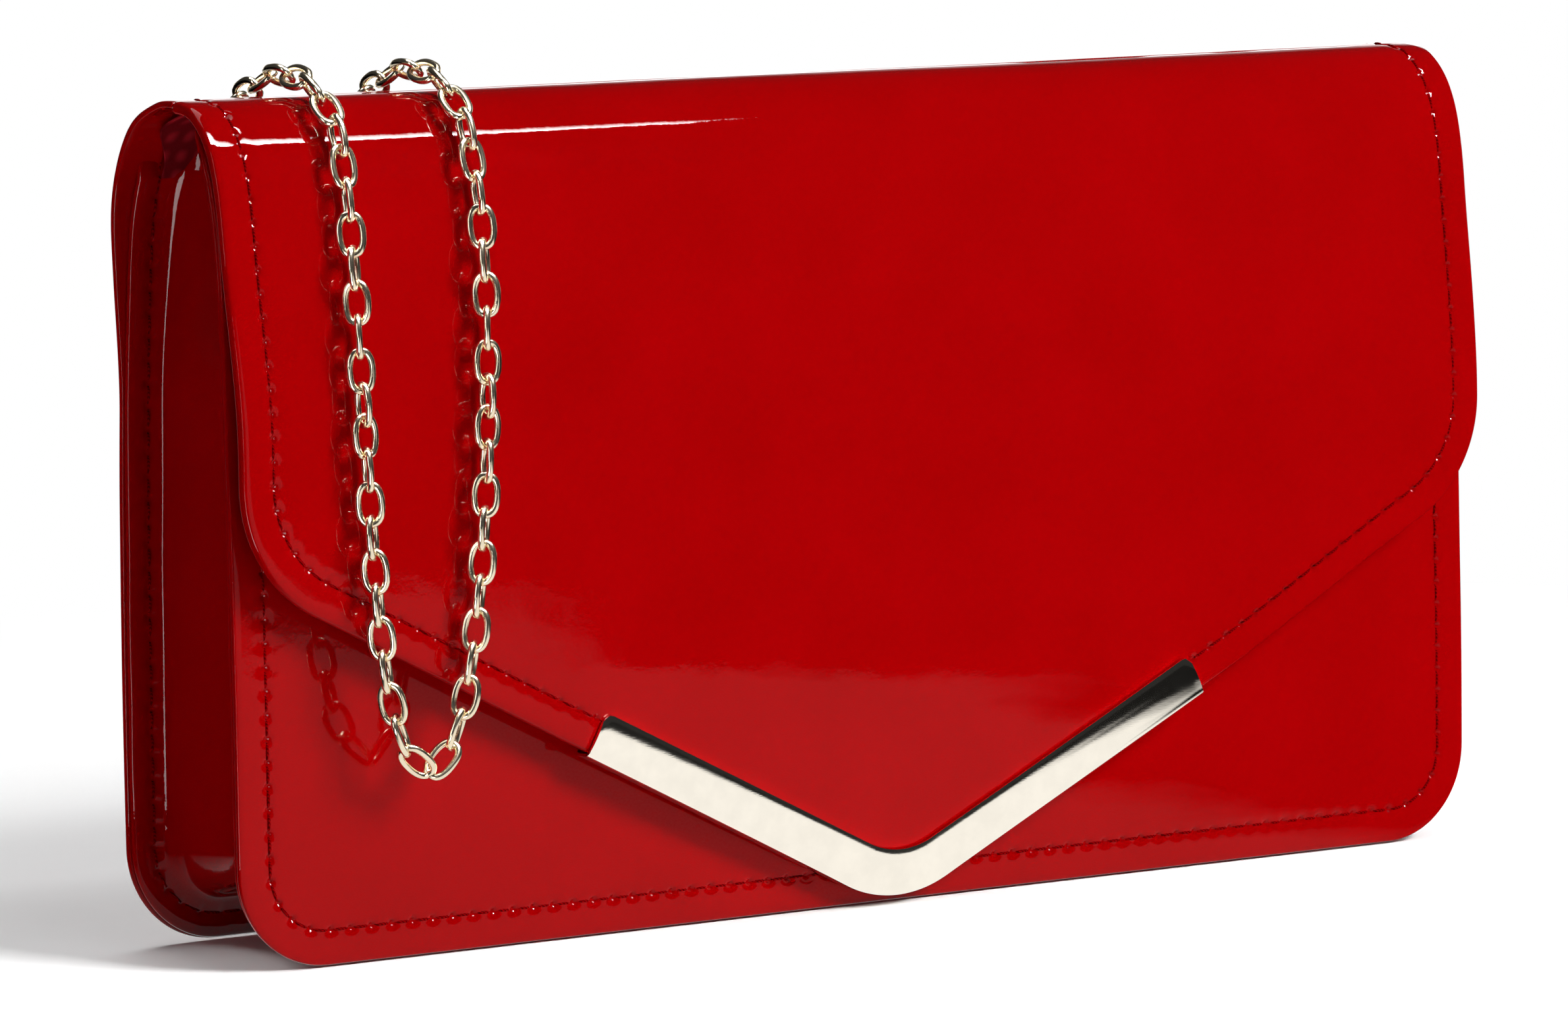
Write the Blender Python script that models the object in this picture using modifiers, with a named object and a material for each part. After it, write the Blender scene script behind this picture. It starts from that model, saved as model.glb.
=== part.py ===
"""Envelope clutch purse: a two-panel body with a recessed gusset, a flap that folds over the top
and ends in a metal bar, a magnetic snap, and a loose cable chain draped over the flap.

Sizes are in millimetres and become metres when a mesh is made. +X is the purse's width, -Y its
front and +Z up. The origin is the middle of the whole footprint,
with the chain, on the surface the purse stands on.
"""

import math

import bmesh
import bpy
from mathutils import Matrix, Vector

MM = 0.001

# Body
BODY_WIDTH = 260.0
CORNER_RADIUS = 17.0
FRAME_SHIFT = 4.43
BODY_TOP = 137.5
PLY_GAP = 0.3
SKIN = 0.9
BOARD = 0.8
LINING = 0.6
BOARD_DEPTH = SKIN + PLY_GAP
LINING_DEPTH = BOARD_DEPTH + BOARD + PLY_GAP
STACK = LINING_DEPTH + LINING
PANEL_INSET = 9.0
SIDE_ROWS = [25, 50, 75, 100, 116, 128, 134, BODY_TOP]

# Side profile of the outer skin as (y, z): up the back, over the top and down the flap
SKIN_STATIONS = [
    (20.0, 0.0), (19.9, 40.0), (18.8, 84.0), (16.3, 116.0), (12.9, 131.5), (5.8, 141.8),
    (-3.2, 146.0), (-10.0, 146.5), (-16.8, 144.9), (-22.4, 139.0), (-25.6, 129.0),
    (-27.2, 112.0), (-27.6, 88.0), (-27.4, 60.0), (-26.6, 32.0), (-24.2, 0.0),
]
# Side profile of the front panel as (y, z), from its top edge down
FRONT_STATIONS = [
    (-11.6, 141.0), (-14.4, 136.2), (-17.0, 128.0), (-18.6, 116.0), (-19.4, 90.0),
    (-20.0, 45.0), (-20.0, 0.0),
]

# Flap
FLAP_WIDTH = 265.0
FLAP_SLOPE = math.radians(27.0)
FLAP_POINT = -0.35
FLAP_SIDE_RADIUS = 25.0
FLAP_TIP_RADIUS = 22.0
REAR_FOLD_Z = 134.0
FRONT_FOLD_Z = 137.0
FOLD_GAP = 0.6
FLAP_INSET = 2.5
SPINE_LINING_START = 5.7
SPINE_START = 2.6
REAR_PANEL_TOP = 135.2

# Metal bar on the flap's point
TRIM_HALF_SPAN = 65.0
TRIM_FRONT_LEG = 7.5
TRIM_REAR_LEG = 4.0
TRIM_METAL = 0.5
TRIM_CLEARANCE = 0.3

# Gusset
FLANGE = 7.0
FOLD_DEPTH = 4.0
FOLD_DEPTH_AT_TOP = 8.5
LINING_BACKOFF = 2.6

# Magnetic snap
SNAP_Z = 44.0
SNAP_RADIUS = 8.0
SNAP_HOLE = 3.4
SNAP_POST = 2.8
TAIL_RADIUS = 1.5
TAIL_HOLE = 1.9

# Chain
LINK_LENGTH = 8.1
LINK_WIDTH = 5.2
WIRE = 1.25
LINK_PITCH = LINK_LENGTH - 2 * WIRE + 0.12
CHAIN_STANDOFF = 3.6
CHAIN_TOP_STANDOFF = 3.4
LEFT_STRAND_X = -111.0
RIGHT_STRAND_X = -86.0
LOOP_LEFT = [(-111.2, 120.0), (-110.4, 95.0), (-109.0, 70.0), (-106.9, 50.0), (-103.4, 38.0)]
LOOP_BOTTOM = [(-98.4, 33.6)]
LOOP_RIGHT = [(-94.0, 38.0), (-90.4, 50.0), (-87.7, 70.0), (-86.2, 95.0), (-85.8, 120.0)]
REAR_CHAIN_END_Z = 51.3
REAR_CHAIN_STANDOFF = 3.4
HINGE_SLACK = 0.45
TWIST_LINKS = 3
CHAIN_RUNS = [
    ("chain_tail_left", 15), ("chain_over_top_left", 9), ("chain_strand_left", 8), ("chain_loop_bottom", 22),
    ("chain_strand_right", 8), ("chain_over_top_right", 9), ("chain_tail_right", 15),
]

# Chain rings inside the mouth
RING_X = 108.8
RING_Z = 124.0
RING_HALF = 5.0
RING_WIRE = 1.5
TAB_PLY = 0.8
TAB_WIDTH = 7.0

# Spring clasps
CLASP_THICK = 2.6
CLASP_LEVER_THICK = 1.0
CLASP_PIN = 0.4
CLASP_PIVOT = (2.9, -6.6)

PATENT_RED = (0.45, 0.0, 0.002)
LINING_RED = (0.18, 0.004, 0.006)
BOARD_GREY = (0.55, 0.52, 0.46)
PALE_GOLD = (0.86, 0.76, 0.56)
NICKEL = (0.75, 0.74, 0.70)
MAGNET_GREY = (0.12, 0.12, 0.13)

for old in list(bpy.data.objects):
    bpy.data.objects.remove(old, do_unlink=True)

PARTS = bpy.data.collections.new("clutch_purse")
CUTTERS = bpy.data.collections.new("cutters")
for group in (PARTS, CUTTERS):
    bpy.context.scene.collection.children.link(group)


# ---------------------------------------------------------------- paths


class Rail:
    """A smooth path through stations, measured by its length. Points are vectors."""

    def __init__(self, stations, steps=10):
        self.points = self._smooth([Vector(station) for station in stations], steps)
        self.lengths = [0.0]
        for a, b in zip(self.points, self.points[1:]):
            self.lengths.append(self.lengths[-1] + (b - a).length)
        self.total = self.lengths[-1]

    @staticmethod
    def _smooth(stations, steps):
        ends = [stations[0] * 2 - stations[1]] + stations + [stations[-1] * 2 - stations[-2]]
        points = []
        for a, b, c, d in zip(ends, ends[1:], ends[2:], ends[3:]):
            for step in range(steps):
                t = step / steps
                linear = (c - a) * t
                square = (a * 2 - b * 5 + c * 4 - d) * t**2
                cube = (b * 3 - a - c * 3 + d) * t**3
                points.append((b * 2 + linear + square + cube) * 0.5)
        return points + [stations[-1]]

    def at(self, length):
        length = min(max(length, 0.0), self.total)
        index = max(i for i, start in enumerate(self.lengths[:-1]) if start <= length)
        share = (length - self.lengths[index]) / (self.lengths[index + 1] - self.lengths[index])
        return self.points[index].lerp(self.points[index + 1], share)

    def tangent(self, length):
        return (self.at(length + 0.5) - self.at(length - 0.5)).normalized()

    def length_where(self, inside, start=0.0, step=0.05):
        """The first length, from start on, at which inside(point) holds."""
        length = start
        while length < self.total and not inside(self.at(length)):
            length += step
        return length


class Profile(Rail):
    """A side profile of (y, z) points whose outer side is on the left of its direction of travel."""

    def outward(self, length):
        along = self.tangent(length)
        return Vector((along.y, -along.x))

    def below(self, length, depth):
        """The point this deep under the outer surface, as (y, z)."""
        return self.at(length) - self.outward(length) * depth

    def level_with(self, length, depth):
        """The y that lies this deep under the outer surface at the same height."""
        return self.at(length).x - depth / self.outward(length).x


SKIN_PROFILE = Profile(SKIN_STATIONS)
FRONT_PROFILE = Profile(FRONT_STATIONS)
REAR_FOLD = SKIN_PROFILE.length_where(lambda p: p.y >= REAR_FOLD_Z)
SUMMIT = SKIN_PROFILE.length_where(lambda p: p.x <= -10.0)
FRONT_FOLD = SKIN_PROFILE.length_where(lambda p: p.y <= FRONT_FOLD_Z, start=SUMMIT)


def flap_length(z):
    return SKIN_PROFILE.length_where(lambda p: p.y <= z, start=SUMMIT)


def front_length(z):
    return FRONT_PROFILE.length_where(lambda p: p.y <= z)


def rear_length(z):
    return SKIN_PROFILE.length_where(lambda p: p.y >= z)


def panel_half_width(z, inset=0.0):
    """Half the body's width at a height, with round lower corners, less an inset all round."""
    radius = max(CORNER_RADIUS - inset, 1.0)
    rise = z - inset
    straight = BODY_WIDTH / 2 - inset
    if rise >= radius:
        return straight
    return straight - radius + math.sqrt(max(radius**2 - (radius - rise) ** 2, 0.0))


def flap_half_width(z, inset=0.0):
    """Half the flap's width at a height: straight sides, round shoulders, a slope and a round tip."""
    side = FLAP_WIDTH / 2 - inset
    point = FLAP_POINT + inset / math.cos(FLAP_SLOPE)
    shoulder = FLAP_SIDE_RADIUS - inset
    tip = FLAP_TIP_RADIUS - inset
    centre_x = side - shoulder
    centre_z = point + centre_x * math.tan(FLAP_SLOPE) + shoulder / math.cos(FLAP_SLOPE)
    tip_z = point + tip / math.cos(FLAP_SLOPE)
    if z >= centre_z:
        return side
    if z >= centre_z - shoulder * math.cos(FLAP_SLOPE):
        return centre_x + math.sqrt(shoulder**2 - (centre_z - z) ** 2)
    if z >= tip_z - tip * math.cos(FLAP_SLOPE):
        return (z - point) / math.tan(FLAP_SLOPE)
    return math.sqrt(max(tip**2 - (tip_z - z) ** 2, 0.0))


def flap_tip_z(inset=0.0):
    point = FLAP_POINT + inset / math.cos(FLAP_SLOPE)
    tip = FLAP_TIP_RADIUS - inset
    return point + tip / math.cos(FLAP_SLOPE) - tip


# ---------------------------------------------------------------- making objects


def material(name, colour, roughness, metallic):
    found = bpy.data.materials.get(name)
    if found:
        return found
    made = bpy.data.materials.new(name)
    made.use_nodes = True
    shader = made.node_tree.nodes["Principled BSDF"]
    shader.inputs["Base Color"].default_value = (*colour, 1.0)
    shader.inputs["Roughness"].default_value = roughness
    shader.inputs["Metallic"].default_value = metallic
    return made


def patent():
    return material("patent_red", PATENT_RED, 0.08, 0.0)


def lining_cloth():
    return material("lining_cloth", LINING_RED, 0.8, 0.0)


def board_card():
    return material("board_card", BOARD_GREY, 0.7, 0.0)


def gold():
    return material("pale_gold", PALE_GOLD, 0.12, 1.0)


def nickel():
    return material("nickel", NICKEL, 0.25, 1.0)


def add_object(name, mesh, finish, group=PARTS):
    mesh.materials.clear()
    if finish:
        mesh.materials.append(finish)
    made = bpy.data.objects.new(name, mesh)
    group.objects.link(made)
    return made


def mesh_from(name, points, faces, merge=True):
    """A mesh in metres from points in millimetres. Points that meet become one."""
    work = bmesh.new()
    corners = [work.verts.new(Vector(point) * MM) for point in points]
    for face in faces:
        work.faces.new([corners[index] for index in face])
    if merge:
        bmesh.ops.remove_doubles(work, verts=work.verts, dist=0.00001)
    mesh = bpy.data.meshes.new(name)
    work.to_mesh(mesh)
    work.free()
    return mesh


def thicken(sheet, thickness):
    """Solidify a sheet towards the side its faces point away from."""
    shell = sheet.modifiers.new("ply", "SOLIDIFY")
    shell.thickness = thickness * MM
    shell.offset = -1.0
    shell.use_even_offset = True
    return sheet


def loft(name, sections, thickness, finish, flip=False):
    """A ply through sections of equal count. Its outer side is section x travel, or the reverse."""
    count = len(sections[0])
    faces = []
    for row in range(len(sections) - 1):
        for column in range(count - 1):
            corner = row * count + column
            ring = [corner, corner + 1, corner + 1 + count, corner + count]
            faces.append(ring[::-1] if flip else ring)
    points = [point for section in sections for point in section]
    return thicken(add_object(name, mesh_from(name, points, faces), finish), thickness)


def bent_ply(name, profile, rows, depth, thickness, finish):
    """A ply bent along a side profile. rows holds (length along the profile, half width)."""
    sections = []
    for length, half_width in rows:
        y, z = profile.below(length, depth)
        sections.append([(-half_width, y, z), (half_width, y, z)])
    return loft(name, sections, thickness, finish, flip=True)


def corner_heights(inset):
    """Heights that follow a round lower corner, from the bottom edge up."""
    radius = CORNER_RADIUS - inset
    turns = [math.radians(angle) for angle in (0, 20, 40, 62, 90)]
    return [inset + radius * (1 - math.cos(turn)) for turn in turns]


def evaluated_mesh(source):
    graph = bpy.context.evaluated_depsgraph_get()
    mesh = bpy.data.meshes.new_from_object(source.evaluated_get(graph))
    work = bmesh.new()
    work.from_mesh(mesh)
    bmesh.ops.remove_doubles(work, verts=work.verts, dist=0.000001)
    work.to_mesh(mesh)
    work.free()
    return mesh


def cut(target, cutter, operation="DIFFERENCE"):
    """Cut, or join, with another object, and keep the result as a plain mesh."""
    change = target.modifiers.new("cut", "BOOLEAN")
    change.operation = operation
    change.object = cutter
    mesh = evaluated_mesh(target)
    target.modifiers.clear()
    target.data = mesh
    bpy.data.objects.remove(cutter, do_unlink=True)
    return target


def disc(name, centre, radius, thickness, finish, sides=20, axis="Y", group=PARTS):
    """A round plate or rod centred on a point."""
    work = bmesh.new()
    bmesh.ops.create_cone(
        work, cap_ends=True, segments=sides, radius1=radius * MM, radius2=radius * MM, depth=thickness * MM
    )
    turn = {"X": Matrix.Rotation(math.pi / 2, 4, "Y"), "Y": Matrix.Rotation(math.pi / 2, 4, "X")}
    if axis in turn:
        bmesh.ops.transform(work, matrix=turn[axis], verts=work.verts)
    mesh = bpy.data.meshes.new(name)
    work.to_mesh(mesh)
    work.free()
    made = add_object(name, mesh, finish, group)
    made.location = Vector(centre) * MM
    return made


def block(name, low, high, finish, group=PARTS):
    """A box between two corners."""
    work = bmesh.new()
    bmesh.ops.create_cube(work, size=1.0)
    low, high = Vector(low) * MM, Vector(high) * MM
    for vert in work.verts:
        vert.co = Vector(a + (b - a) * (c + 0.5) for a, b, c in zip(low, high, vert.co))
    mesh = bpy.data.meshes.new(name)
    work.to_mesh(mesh)
    work.free()
    return add_object(name, mesh, finish, group)


def pivot(target, point):
    """Move an object's origin to a point without moving its shape."""
    bpy.context.view_layer.update()
    shift = Vector(point) * MM - target.location
    target.data.transform(Matrix.Translation(-shift))
    target.location += shift
    return target


# ---------------------------------------------------------------- body


def rear_rows(inset, top):
    heights = corner_heights(inset) + [z for z in SIDE_ROWS if z < top - 2] + [top]
    return [(rear_length(z), panel_half_width(z, inset)) for z in heights]


def front_rows(inset, top):
    heights = corner_heights(inset) + [z for z in SIDE_ROWS if z < top - 2] + [top]
    return [(front_length(z), panel_half_width(z, inset)) for z in reversed(heights)]


def rear_body():
    rear_top = REAR_FOLD_Z - FOLD_GAP
    bent_ply("rear_panel", SKIN_PROFILE, rear_rows(0.0, REAR_PANEL_TOP), 0.0, SKIN, patent())
    bent_ply("rear_board", SKIN_PROFILE, rear_rows(PANEL_INSET, rear_top - 4), BOARD_DEPTH, BOARD, board_card())
    bent_ply("rear_lining", SKIN_PROFILE, rear_rows(PANEL_INSET, rear_top), LINING_DEPTH, LINING, lining_cloth())


def slip_pocket():
    depth = STACK + PLY_GAP + LINING
    half, low, high = 70.0, 42.0, 104.0
    rows = [(rear_length(z), half) for z in (low, 65.0, 85.0, high)]
    bent_ply("slip_pocket", SKIN_PROFILE, rows, depth, LINING, lining_cloth())
    rows = [(rear_length(z), half) for z in (high + PLY_GAP, high + 5.0)]
    bent_ply("pocket_binding", SKIN_PROFILE, rows, depth - 0.3, LINING + 0.6, patent())


def front_body():
    top = 141.0
    panel = bent_ply("front_panel", FRONT_PROFILE, front_rows(0.0, top), 0.0, SKIN, patent())
    board = bent_ply(
        "front_board", FRONT_PROFILE, front_rows(PANEL_INSET, top - 5), BOARD_DEPTH, BOARD, board_card()
    )
    bent_ply("front_lining", FRONT_PROFILE, front_rows(PANEL_INSET, top - 2), LINING_DEPTH, LINING, lining_cloth())
    for ply in (panel, board):
        cut(ply, disc("tail_hole", (0, -19, SNAP_Z), TAIL_HOLE, 12, None, 12, group=CUTTERS))


def u_stations(top):
    """Stations round the body's edge as (x, z, outward x, outward z): down the left, along, up the right."""
    half = BODY_WIDTH / 2
    turns = [math.radians(angle) for angle in (0, 30, 60, 90)]
    left = [(-half, z, -1.0, 0.0) for z in [top] + [row for row in reversed(SIDE_ROWS) if row < top]]
    for turn in turns:
        out_x, out_z = -math.cos(turn), -math.sin(turn)
        x = -half + CORNER_RADIUS * (1 + out_x)
        left.append((x, CORNER_RADIUS * (1 + out_z), out_x, out_z))
    right = [(-x, z, -out_x, out_z) for x, z, out_x, out_z in reversed(left)]
    return left + right


def fold_extra(z):
    """How far the gusset's middle folds in, growing towards the mouth."""
    share = min(max((z - 95.0) / 40.0, 0.0), 1.0)
    return FOLD_DEPTH + (FOLD_DEPTH_AT_TOP - FOLD_DEPTH) * share**2 * (3 - 2 * share)


def gusset_section(station, flange_depth, wall, mids):
    """Points across the gusset from front to rear. wall and mids are insets from the body's edge."""
    x, z, out_x, out_z = station
    height = min(max(z, 0.05), BODY_TOP)
    front = FRONT_PROFILE.level_with(front_length(height), flange_depth)
    rear = SKIN_PROFILE.level_with(rear_length(height), flange_depth)

    def place(inset, share):
        y = front + (rear - front) * share
        return (x - out_x * inset, y, z - out_z * inset)

    return [place(inset, share) for inset, share in wall[0] + mids + wall[1]]


def gusset():
    sections = []
    for station in u_stations(BODY_TOP):
        fold = FLANGE + fold_extra(station[1])
        wall = ([(0.6, 0.0), (FLANGE, 0.0)], [(FLANGE, 1.0), (0.6, 1.0)])
        mids = [(FLANGE + 1.5, 0.25), (fold, 0.5), (FLANGE + 1.5, 0.75)]
        sections.append(gusset_section(station, BOARD_DEPTH + SKIN, wall, mids))
    loft("gusset", sections, SKIN, patent())
    sections = []
    for station in u_stations(BODY_TOP - 1.5):
        fold = FLANGE + fold_extra(station[1]) + LINING_BACKOFF
        wall = ([(FLANGE + 3.6, 0.0)], [(FLANGE + 3.6, 1.0)])
        mids = [(FLANGE + 4.4, 0.22), (fold, 0.5), (FLANGE + 4.4, 0.78)]
        sections.append(gusset_section(station, STACK + 0.6, wall, mids))
    loft("gusset_lining", sections, LINING, lining_cloth())


def base_board():
    floor = FLANGE + FOLD_DEPTH + LINING_BACKOFF + LINING + PLY_GAP + 0.2
    block("base_board", (-104, -13.0, floor), (104, 12.5, floor + 1.2), board_card())


# ---------------------------------------------------------------- flap


def over_rows(start, end, half_width, steps=9):
    return [(start + (end - start) * step / steps, half_width) for step in range(steps + 1)]


def flap_rows(inset, start):
    """Rows down the flap, close together round the shoulders and the tip."""
    side = FLAP_WIDTH / 2 - inset
    tip = flap_tip_z(inset)
    heights = [128, 116, 100, 83 + inset, 77, 71, 66, 62, 59, 45, 30, 16, 7.5, 5.5, 4.2, 3.3, 2.7]
    rows = [(start, side)]
    rows += [(flap_length(z), flap_half_width(z, inset)) for z in heights if z > tip + 0.3]
    return rows + [(flap_length(tip + 0.04), flap_half_width(tip + 0.04, inset))]


def spine():
    start, end = REAR_FOLD + SPINE_START, FRONT_FOLD - FOLD_GAP / 2
    half = FLAP_WIDTH / 2
    bent_ply("spine_cover", SKIN_PROFILE, over_rows(start, end, half), 0.0, SKIN, patent())
    rows = over_rows(start + SPINE_LINING_START, end - 1, half - FLAP_INSET)
    bent_ply("spine_lining", SKIN_PROFILE, rows, LINING_DEPTH, LINING, lining_cloth())


def flap():
    start = FRONT_FOLD + FOLD_GAP / 2
    bent_ply("flap_cover", SKIN_PROFILE, flap_rows(0.0, start), 0.0, SKIN, patent())
    rows = flap_rows(FLAP_INSET, start + 4)
    board = bent_ply("flap_board", SKIN_PROFILE, rows, BOARD_DEPTH, BOARD, board_card())
    rows = flap_rows(FLAP_INSET - 1, start + 1)
    lining = bent_ply("flap_lining", SKIN_PROFILE, rows, LINING_DEPTH, LINING, lining_cloth())
    for ply in (board, lining):
        cut(ply, disc("tail_hole", (0, -24.5, SNAP_Z), TAIL_HOLE, 2 * (STACK - SKIN), None, 12, group=CUTTERS))


def trim_line():
    """Stations along the flap's pointed edge as (x, z, outward x, outward z), left to right."""
    reach = TRIM_HALF_SPAN
    tip_z = FLAP_POINT + FLAP_TIP_RADIUS / math.cos(FLAP_SLOPE)
    out_x, out_z = -math.sin(FLAP_SLOPE), -math.cos(FLAP_SLOPE)
    line = [(-reach, FLAP_POINT + reach * math.tan(FLAP_SLOPE), out_x, out_z)]
    line.append((-reach * 0.55, FLAP_POINT + reach * 0.55 * math.tan(FLAP_SLOPE), out_x, out_z))
    for step in range(9):
        turn = -FLAP_SLOPE + 2 * FLAP_SLOPE * step / 8
        nx, nz = math.sin(turn), -math.cos(turn)
        line.append((FLAP_TIP_RADIUS * nx, tip_z + FLAP_TIP_RADIUS * nz, nx, nz))
    return line + [(-x, z, -nx, nz) for x, z, nx, nz in (line[1], line[0])]


def v_trim():
    """A bar of folded sheet that clips over the flap's point: front leg, round bottom, rear leg."""
    near = TRIM_CLEARANCE + TRIM_METAL
    sections = []
    for x, z, out_x, out_z in trim_line():
        steps = [(-TRIM_FRONT_LEG, -near), (near / 2, -near), (near, -near / 2), (near, STACK + near / 2)]
        steps += [(near / 2, STACK + near), (-TRIM_REAR_LEG, STACK + near)]
        section = []
        for out, depth in steps:
            height = z + out_z * out
            length = flap_length(max(height, 0.1))
            y = SKIN_PROFILE.below(length, depth).x
            section.append((x + out_x * out, y, height))
        sections.append(section)
    loft("v_trim", sections, TRIM_METAL, gold())


# ---------------------------------------------------------------- magnetic snap


def snap():
    face = FRONT_PROFILE.at(front_length(SNAP_Z)).x
    flap_inside = SKIN_PROFILE.below(flap_length(SNAP_Z), STACK).x
    socket_depth = 1.6
    socket = disc("snap_socket", (0, face - PLY_GAP - socket_depth / 2, SNAP_Z), SNAP_RADIUS, socket_depth, nickel())
    tail_back = face + BOARD_DEPTH + BOARD
    tail_front = face - PLY_GAP - socket_depth + 0.5
    tail_mid = (tail_front + tail_back) / 2
    tail = disc("tail", (0, tail_mid, SNAP_Z), TAIL_RADIUS, tail_back - tail_front, None, 12, group=CUTTERS)
    well = disc("well", (0, face - PLY_GAP - socket_depth, SNAP_Z), SNAP_HOLE, 1.8, None, group=CUTTERS)
    cut(cut(socket, well), tail, "UNION")
    lining_back = face + STACK
    disc("snap_backplate", (0, lining_back + PLY_GAP + 0.3, SNAP_Z), SNAP_RADIUS - 1, 0.6, nickel())
    disc("snap_magnet", (0, lining_back + PLY_GAP + 0.6 + PLY_GAP + 0.8, SNAP_Z), SNAP_RADIUS - 1.5, 1.6,
         material("magnet", MAGNET_GREY, 0.5, 0.6))

    plate = 0.7
    stud_mid = flap_inside + PLY_GAP + 0.1 + plate / 2
    stud = disc("snap_stud", (0, stud_mid, SNAP_Z), SNAP_RADIUS - 0.5, plate, nickel())
    post_end = face - PLY_GAP - socket_depth + 0.5
    post_start = stud_mid
    post = disc("post", (0, (post_start + post_end) / 2, SNAP_Z), SNAP_POST, post_end - post_start, None,
                group=CUTTERS)
    tail_end = flap_inside - LINING - PLY_GAP - BOARD + 0.1
    tail = disc("tail", (0, (tail_end + stud_mid) / 2, SNAP_Z), TAIL_RADIUS, stud_mid - tail_end, None, 12,
                group=CUTTERS)
    cut(cut(stud, post, "UNION"), tail, "UNION")


# ---------------------------------------------------------------- rings inside the mouth


def chain_ring(side):
    """A D-shaped ring whose straight bar runs front to back, held by a folded leather tab."""
    name = "left" if side < 0 else "right"
    x = side * RING_X
    path = [(x, -RING_HALF, RING_Z), (x, RING_HALF, RING_Z)]
    for step in range(7):
        turn = math.pi * (step + 0.5) / 7
        path.append((x, RING_HALF * math.cos(turn), RING_Z + 3.0 + 4.5 * math.sin(turn)))
    ring = wire_loop("d_ring_" + name, path, RING_WIRE, gold(), bevel=1)
    pivot(ring, (x, 0, RING_Z))
    bar = RING_WIRE / 2 + 0.3
    sweep = [math.radians(angle) for angle in (0, 45, 90, 135, 180)]
    outline = [(-bar, RING_Z - 13.0)] + [(-bar * math.cos(t), RING_Z + bar * math.sin(t)) for t in sweep]
    outline += [(bar, RING_Z - 13.0)]
    sections = []
    for dx, z in outline:
        sections.append([(x + dx, -TAB_WIDTH / 2, z), (x + dx, TAB_WIDTH / 2, z)])
    loft("d_ring_tab_" + name, sections, TAB_PLY, patent())


# ---------------------------------------------------------------- chain


def wire_loop(name, path, wire, finish, bevel=0, group=PARTS, flat=False):
    """A closed wire through a path in millimetres, as a mesh. A flat one lies in the XY plane."""
    curve = bpy.data.curves.new(name, "CURVE")
    curve.dimensions = "2D" if flat else "3D"
    curve.fill_mode = "NONE" if flat else "FULL"
    curve.bevel_depth = wire / 2 * MM
    curve.bevel_resolution = bevel
    spline = curve.splines.new("POLY")
    spline.points.add(len(path) - 1)
    for point, place in zip(spline.points, path):
        point.co = (*(Vector(place) * MM), 1.0)
    spline.use_cyclic_u = True
    source = bpy.data.objects.new(name + "_wire", curve)
    CUTTERS.objects.link(source)
    mesh = evaluated_mesh(source)
    bpy.data.objects.remove(source, do_unlink=True)
    return add_object(name, mesh, finish, group)


def link_mesh(name, centre, along, across, group):
    """One link: a flat eight-sided oval of wire, laid along and across the given directions."""
    long_half, short_half = (LINK_LENGTH - WIRE) / 2, (LINK_WIDTH - WIRE) / 2
    corners = [(1, 0.42), (0.55, 1), (-0.55, 1), (-1, 0.42), (-1, -0.42), (-0.55, -1), (0.55, -1), (1, -0.42)]
    path = [(a * long_half, b * short_half, 0.0) for a, b in corners]
    link = wire_loop(name, path, WIRE, gold(), group=group, flat=True)
    place = Matrix((along, across, along.cross(across))).transposed().to_4x4()
    place.translation = centre * MM
    link.data.transform(place)
    return link


class ChainPath(Rail):
    """A path that lies over the purse's skin. Outward is away from the skin."""

    def outward(self, length):
        point, along = self.at(length), self.tangent(length)
        skin = Vector((0.0, point.y + 9.0, point.z - 120.0))
        if point.z < 120.0:
            skin = Vector((0.0, math.copysign(1.0, point.y), 0.0))
        return (skin - along * skin.dot(along)).normalized()


def link_turn(link, total):
    """How far a link is turned about the chain: even links from flat on the skin, odd ones from upright.

    At a hinge a flat link meets an upright one, so that either can fold right over on the other.
    Away from the hinges the chain rests on its edges, an eighth of a turn round. The right half
    drifts on to the other eighth, so that the same link of each strand is the flat one.
    """
    hinges = [sum(count for _, count in CHAIN_RUNS[:run]) for run in range(1, len(CHAIN_RUNS))]
    away = min(abs(link + 0.5 - hinge) for hinge in hinges) - 0.5
    lie = -math.pi / 4 * min(away / TWIST_LINKS, 1.0)
    return lie if link < total / 2 else -math.pi / 2 - lie


def chain_run(name, path, start, count, first, total):
    """Links along a path, each turned a quarter from the last, joined where they bear on each other."""
    rest = bpy.data.collections.new(name + "_links")
    bpy.context.scene.collection.children.link(rest)
    base = None
    for index in range(count):
        length = start + (index + 0.5) * LINK_PITCH
        along = path.tangent(length)
        outward = path.outward(length)
        turn = link_turn(first + index, total) + (first + index) % 2 * math.pi / 2
        across = (along.cross(outward) * math.cos(turn) + outward * math.sin(turn)).normalized()
        link = link_mesh(f"{name}_{index}", path.at(length), along, across, rest if base else PARTS)
        base = base or link
    base.name = name
    if count > 1:
        union = base.modifiers.new("links", "BOOLEAN")
        union.operation = "UNION"
        union.operand_type = "COLLECTION"
        union.collection = rest
        base.data = evaluated_mesh(base)
        base.modifiers.clear()
    for link in list(rest.objects):
        bpy.data.objects.remove(link, do_unlink=True)
    bpy.data.collections.remove(rest)
    return base


def link_end(path, length, side):
    """The middle of the wire at one end of the link centred at this length."""
    end = path.at(length) + path.tangent(length) * (side * (LINK_LENGTH - WIRE) / 2)
    return Vector((0.0, end.y, end.z))


def over_skin(x, length, standoff):
    y, z = SKIN_PROFILE.below(length, -standoff)
    return (x, y, z)


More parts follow.
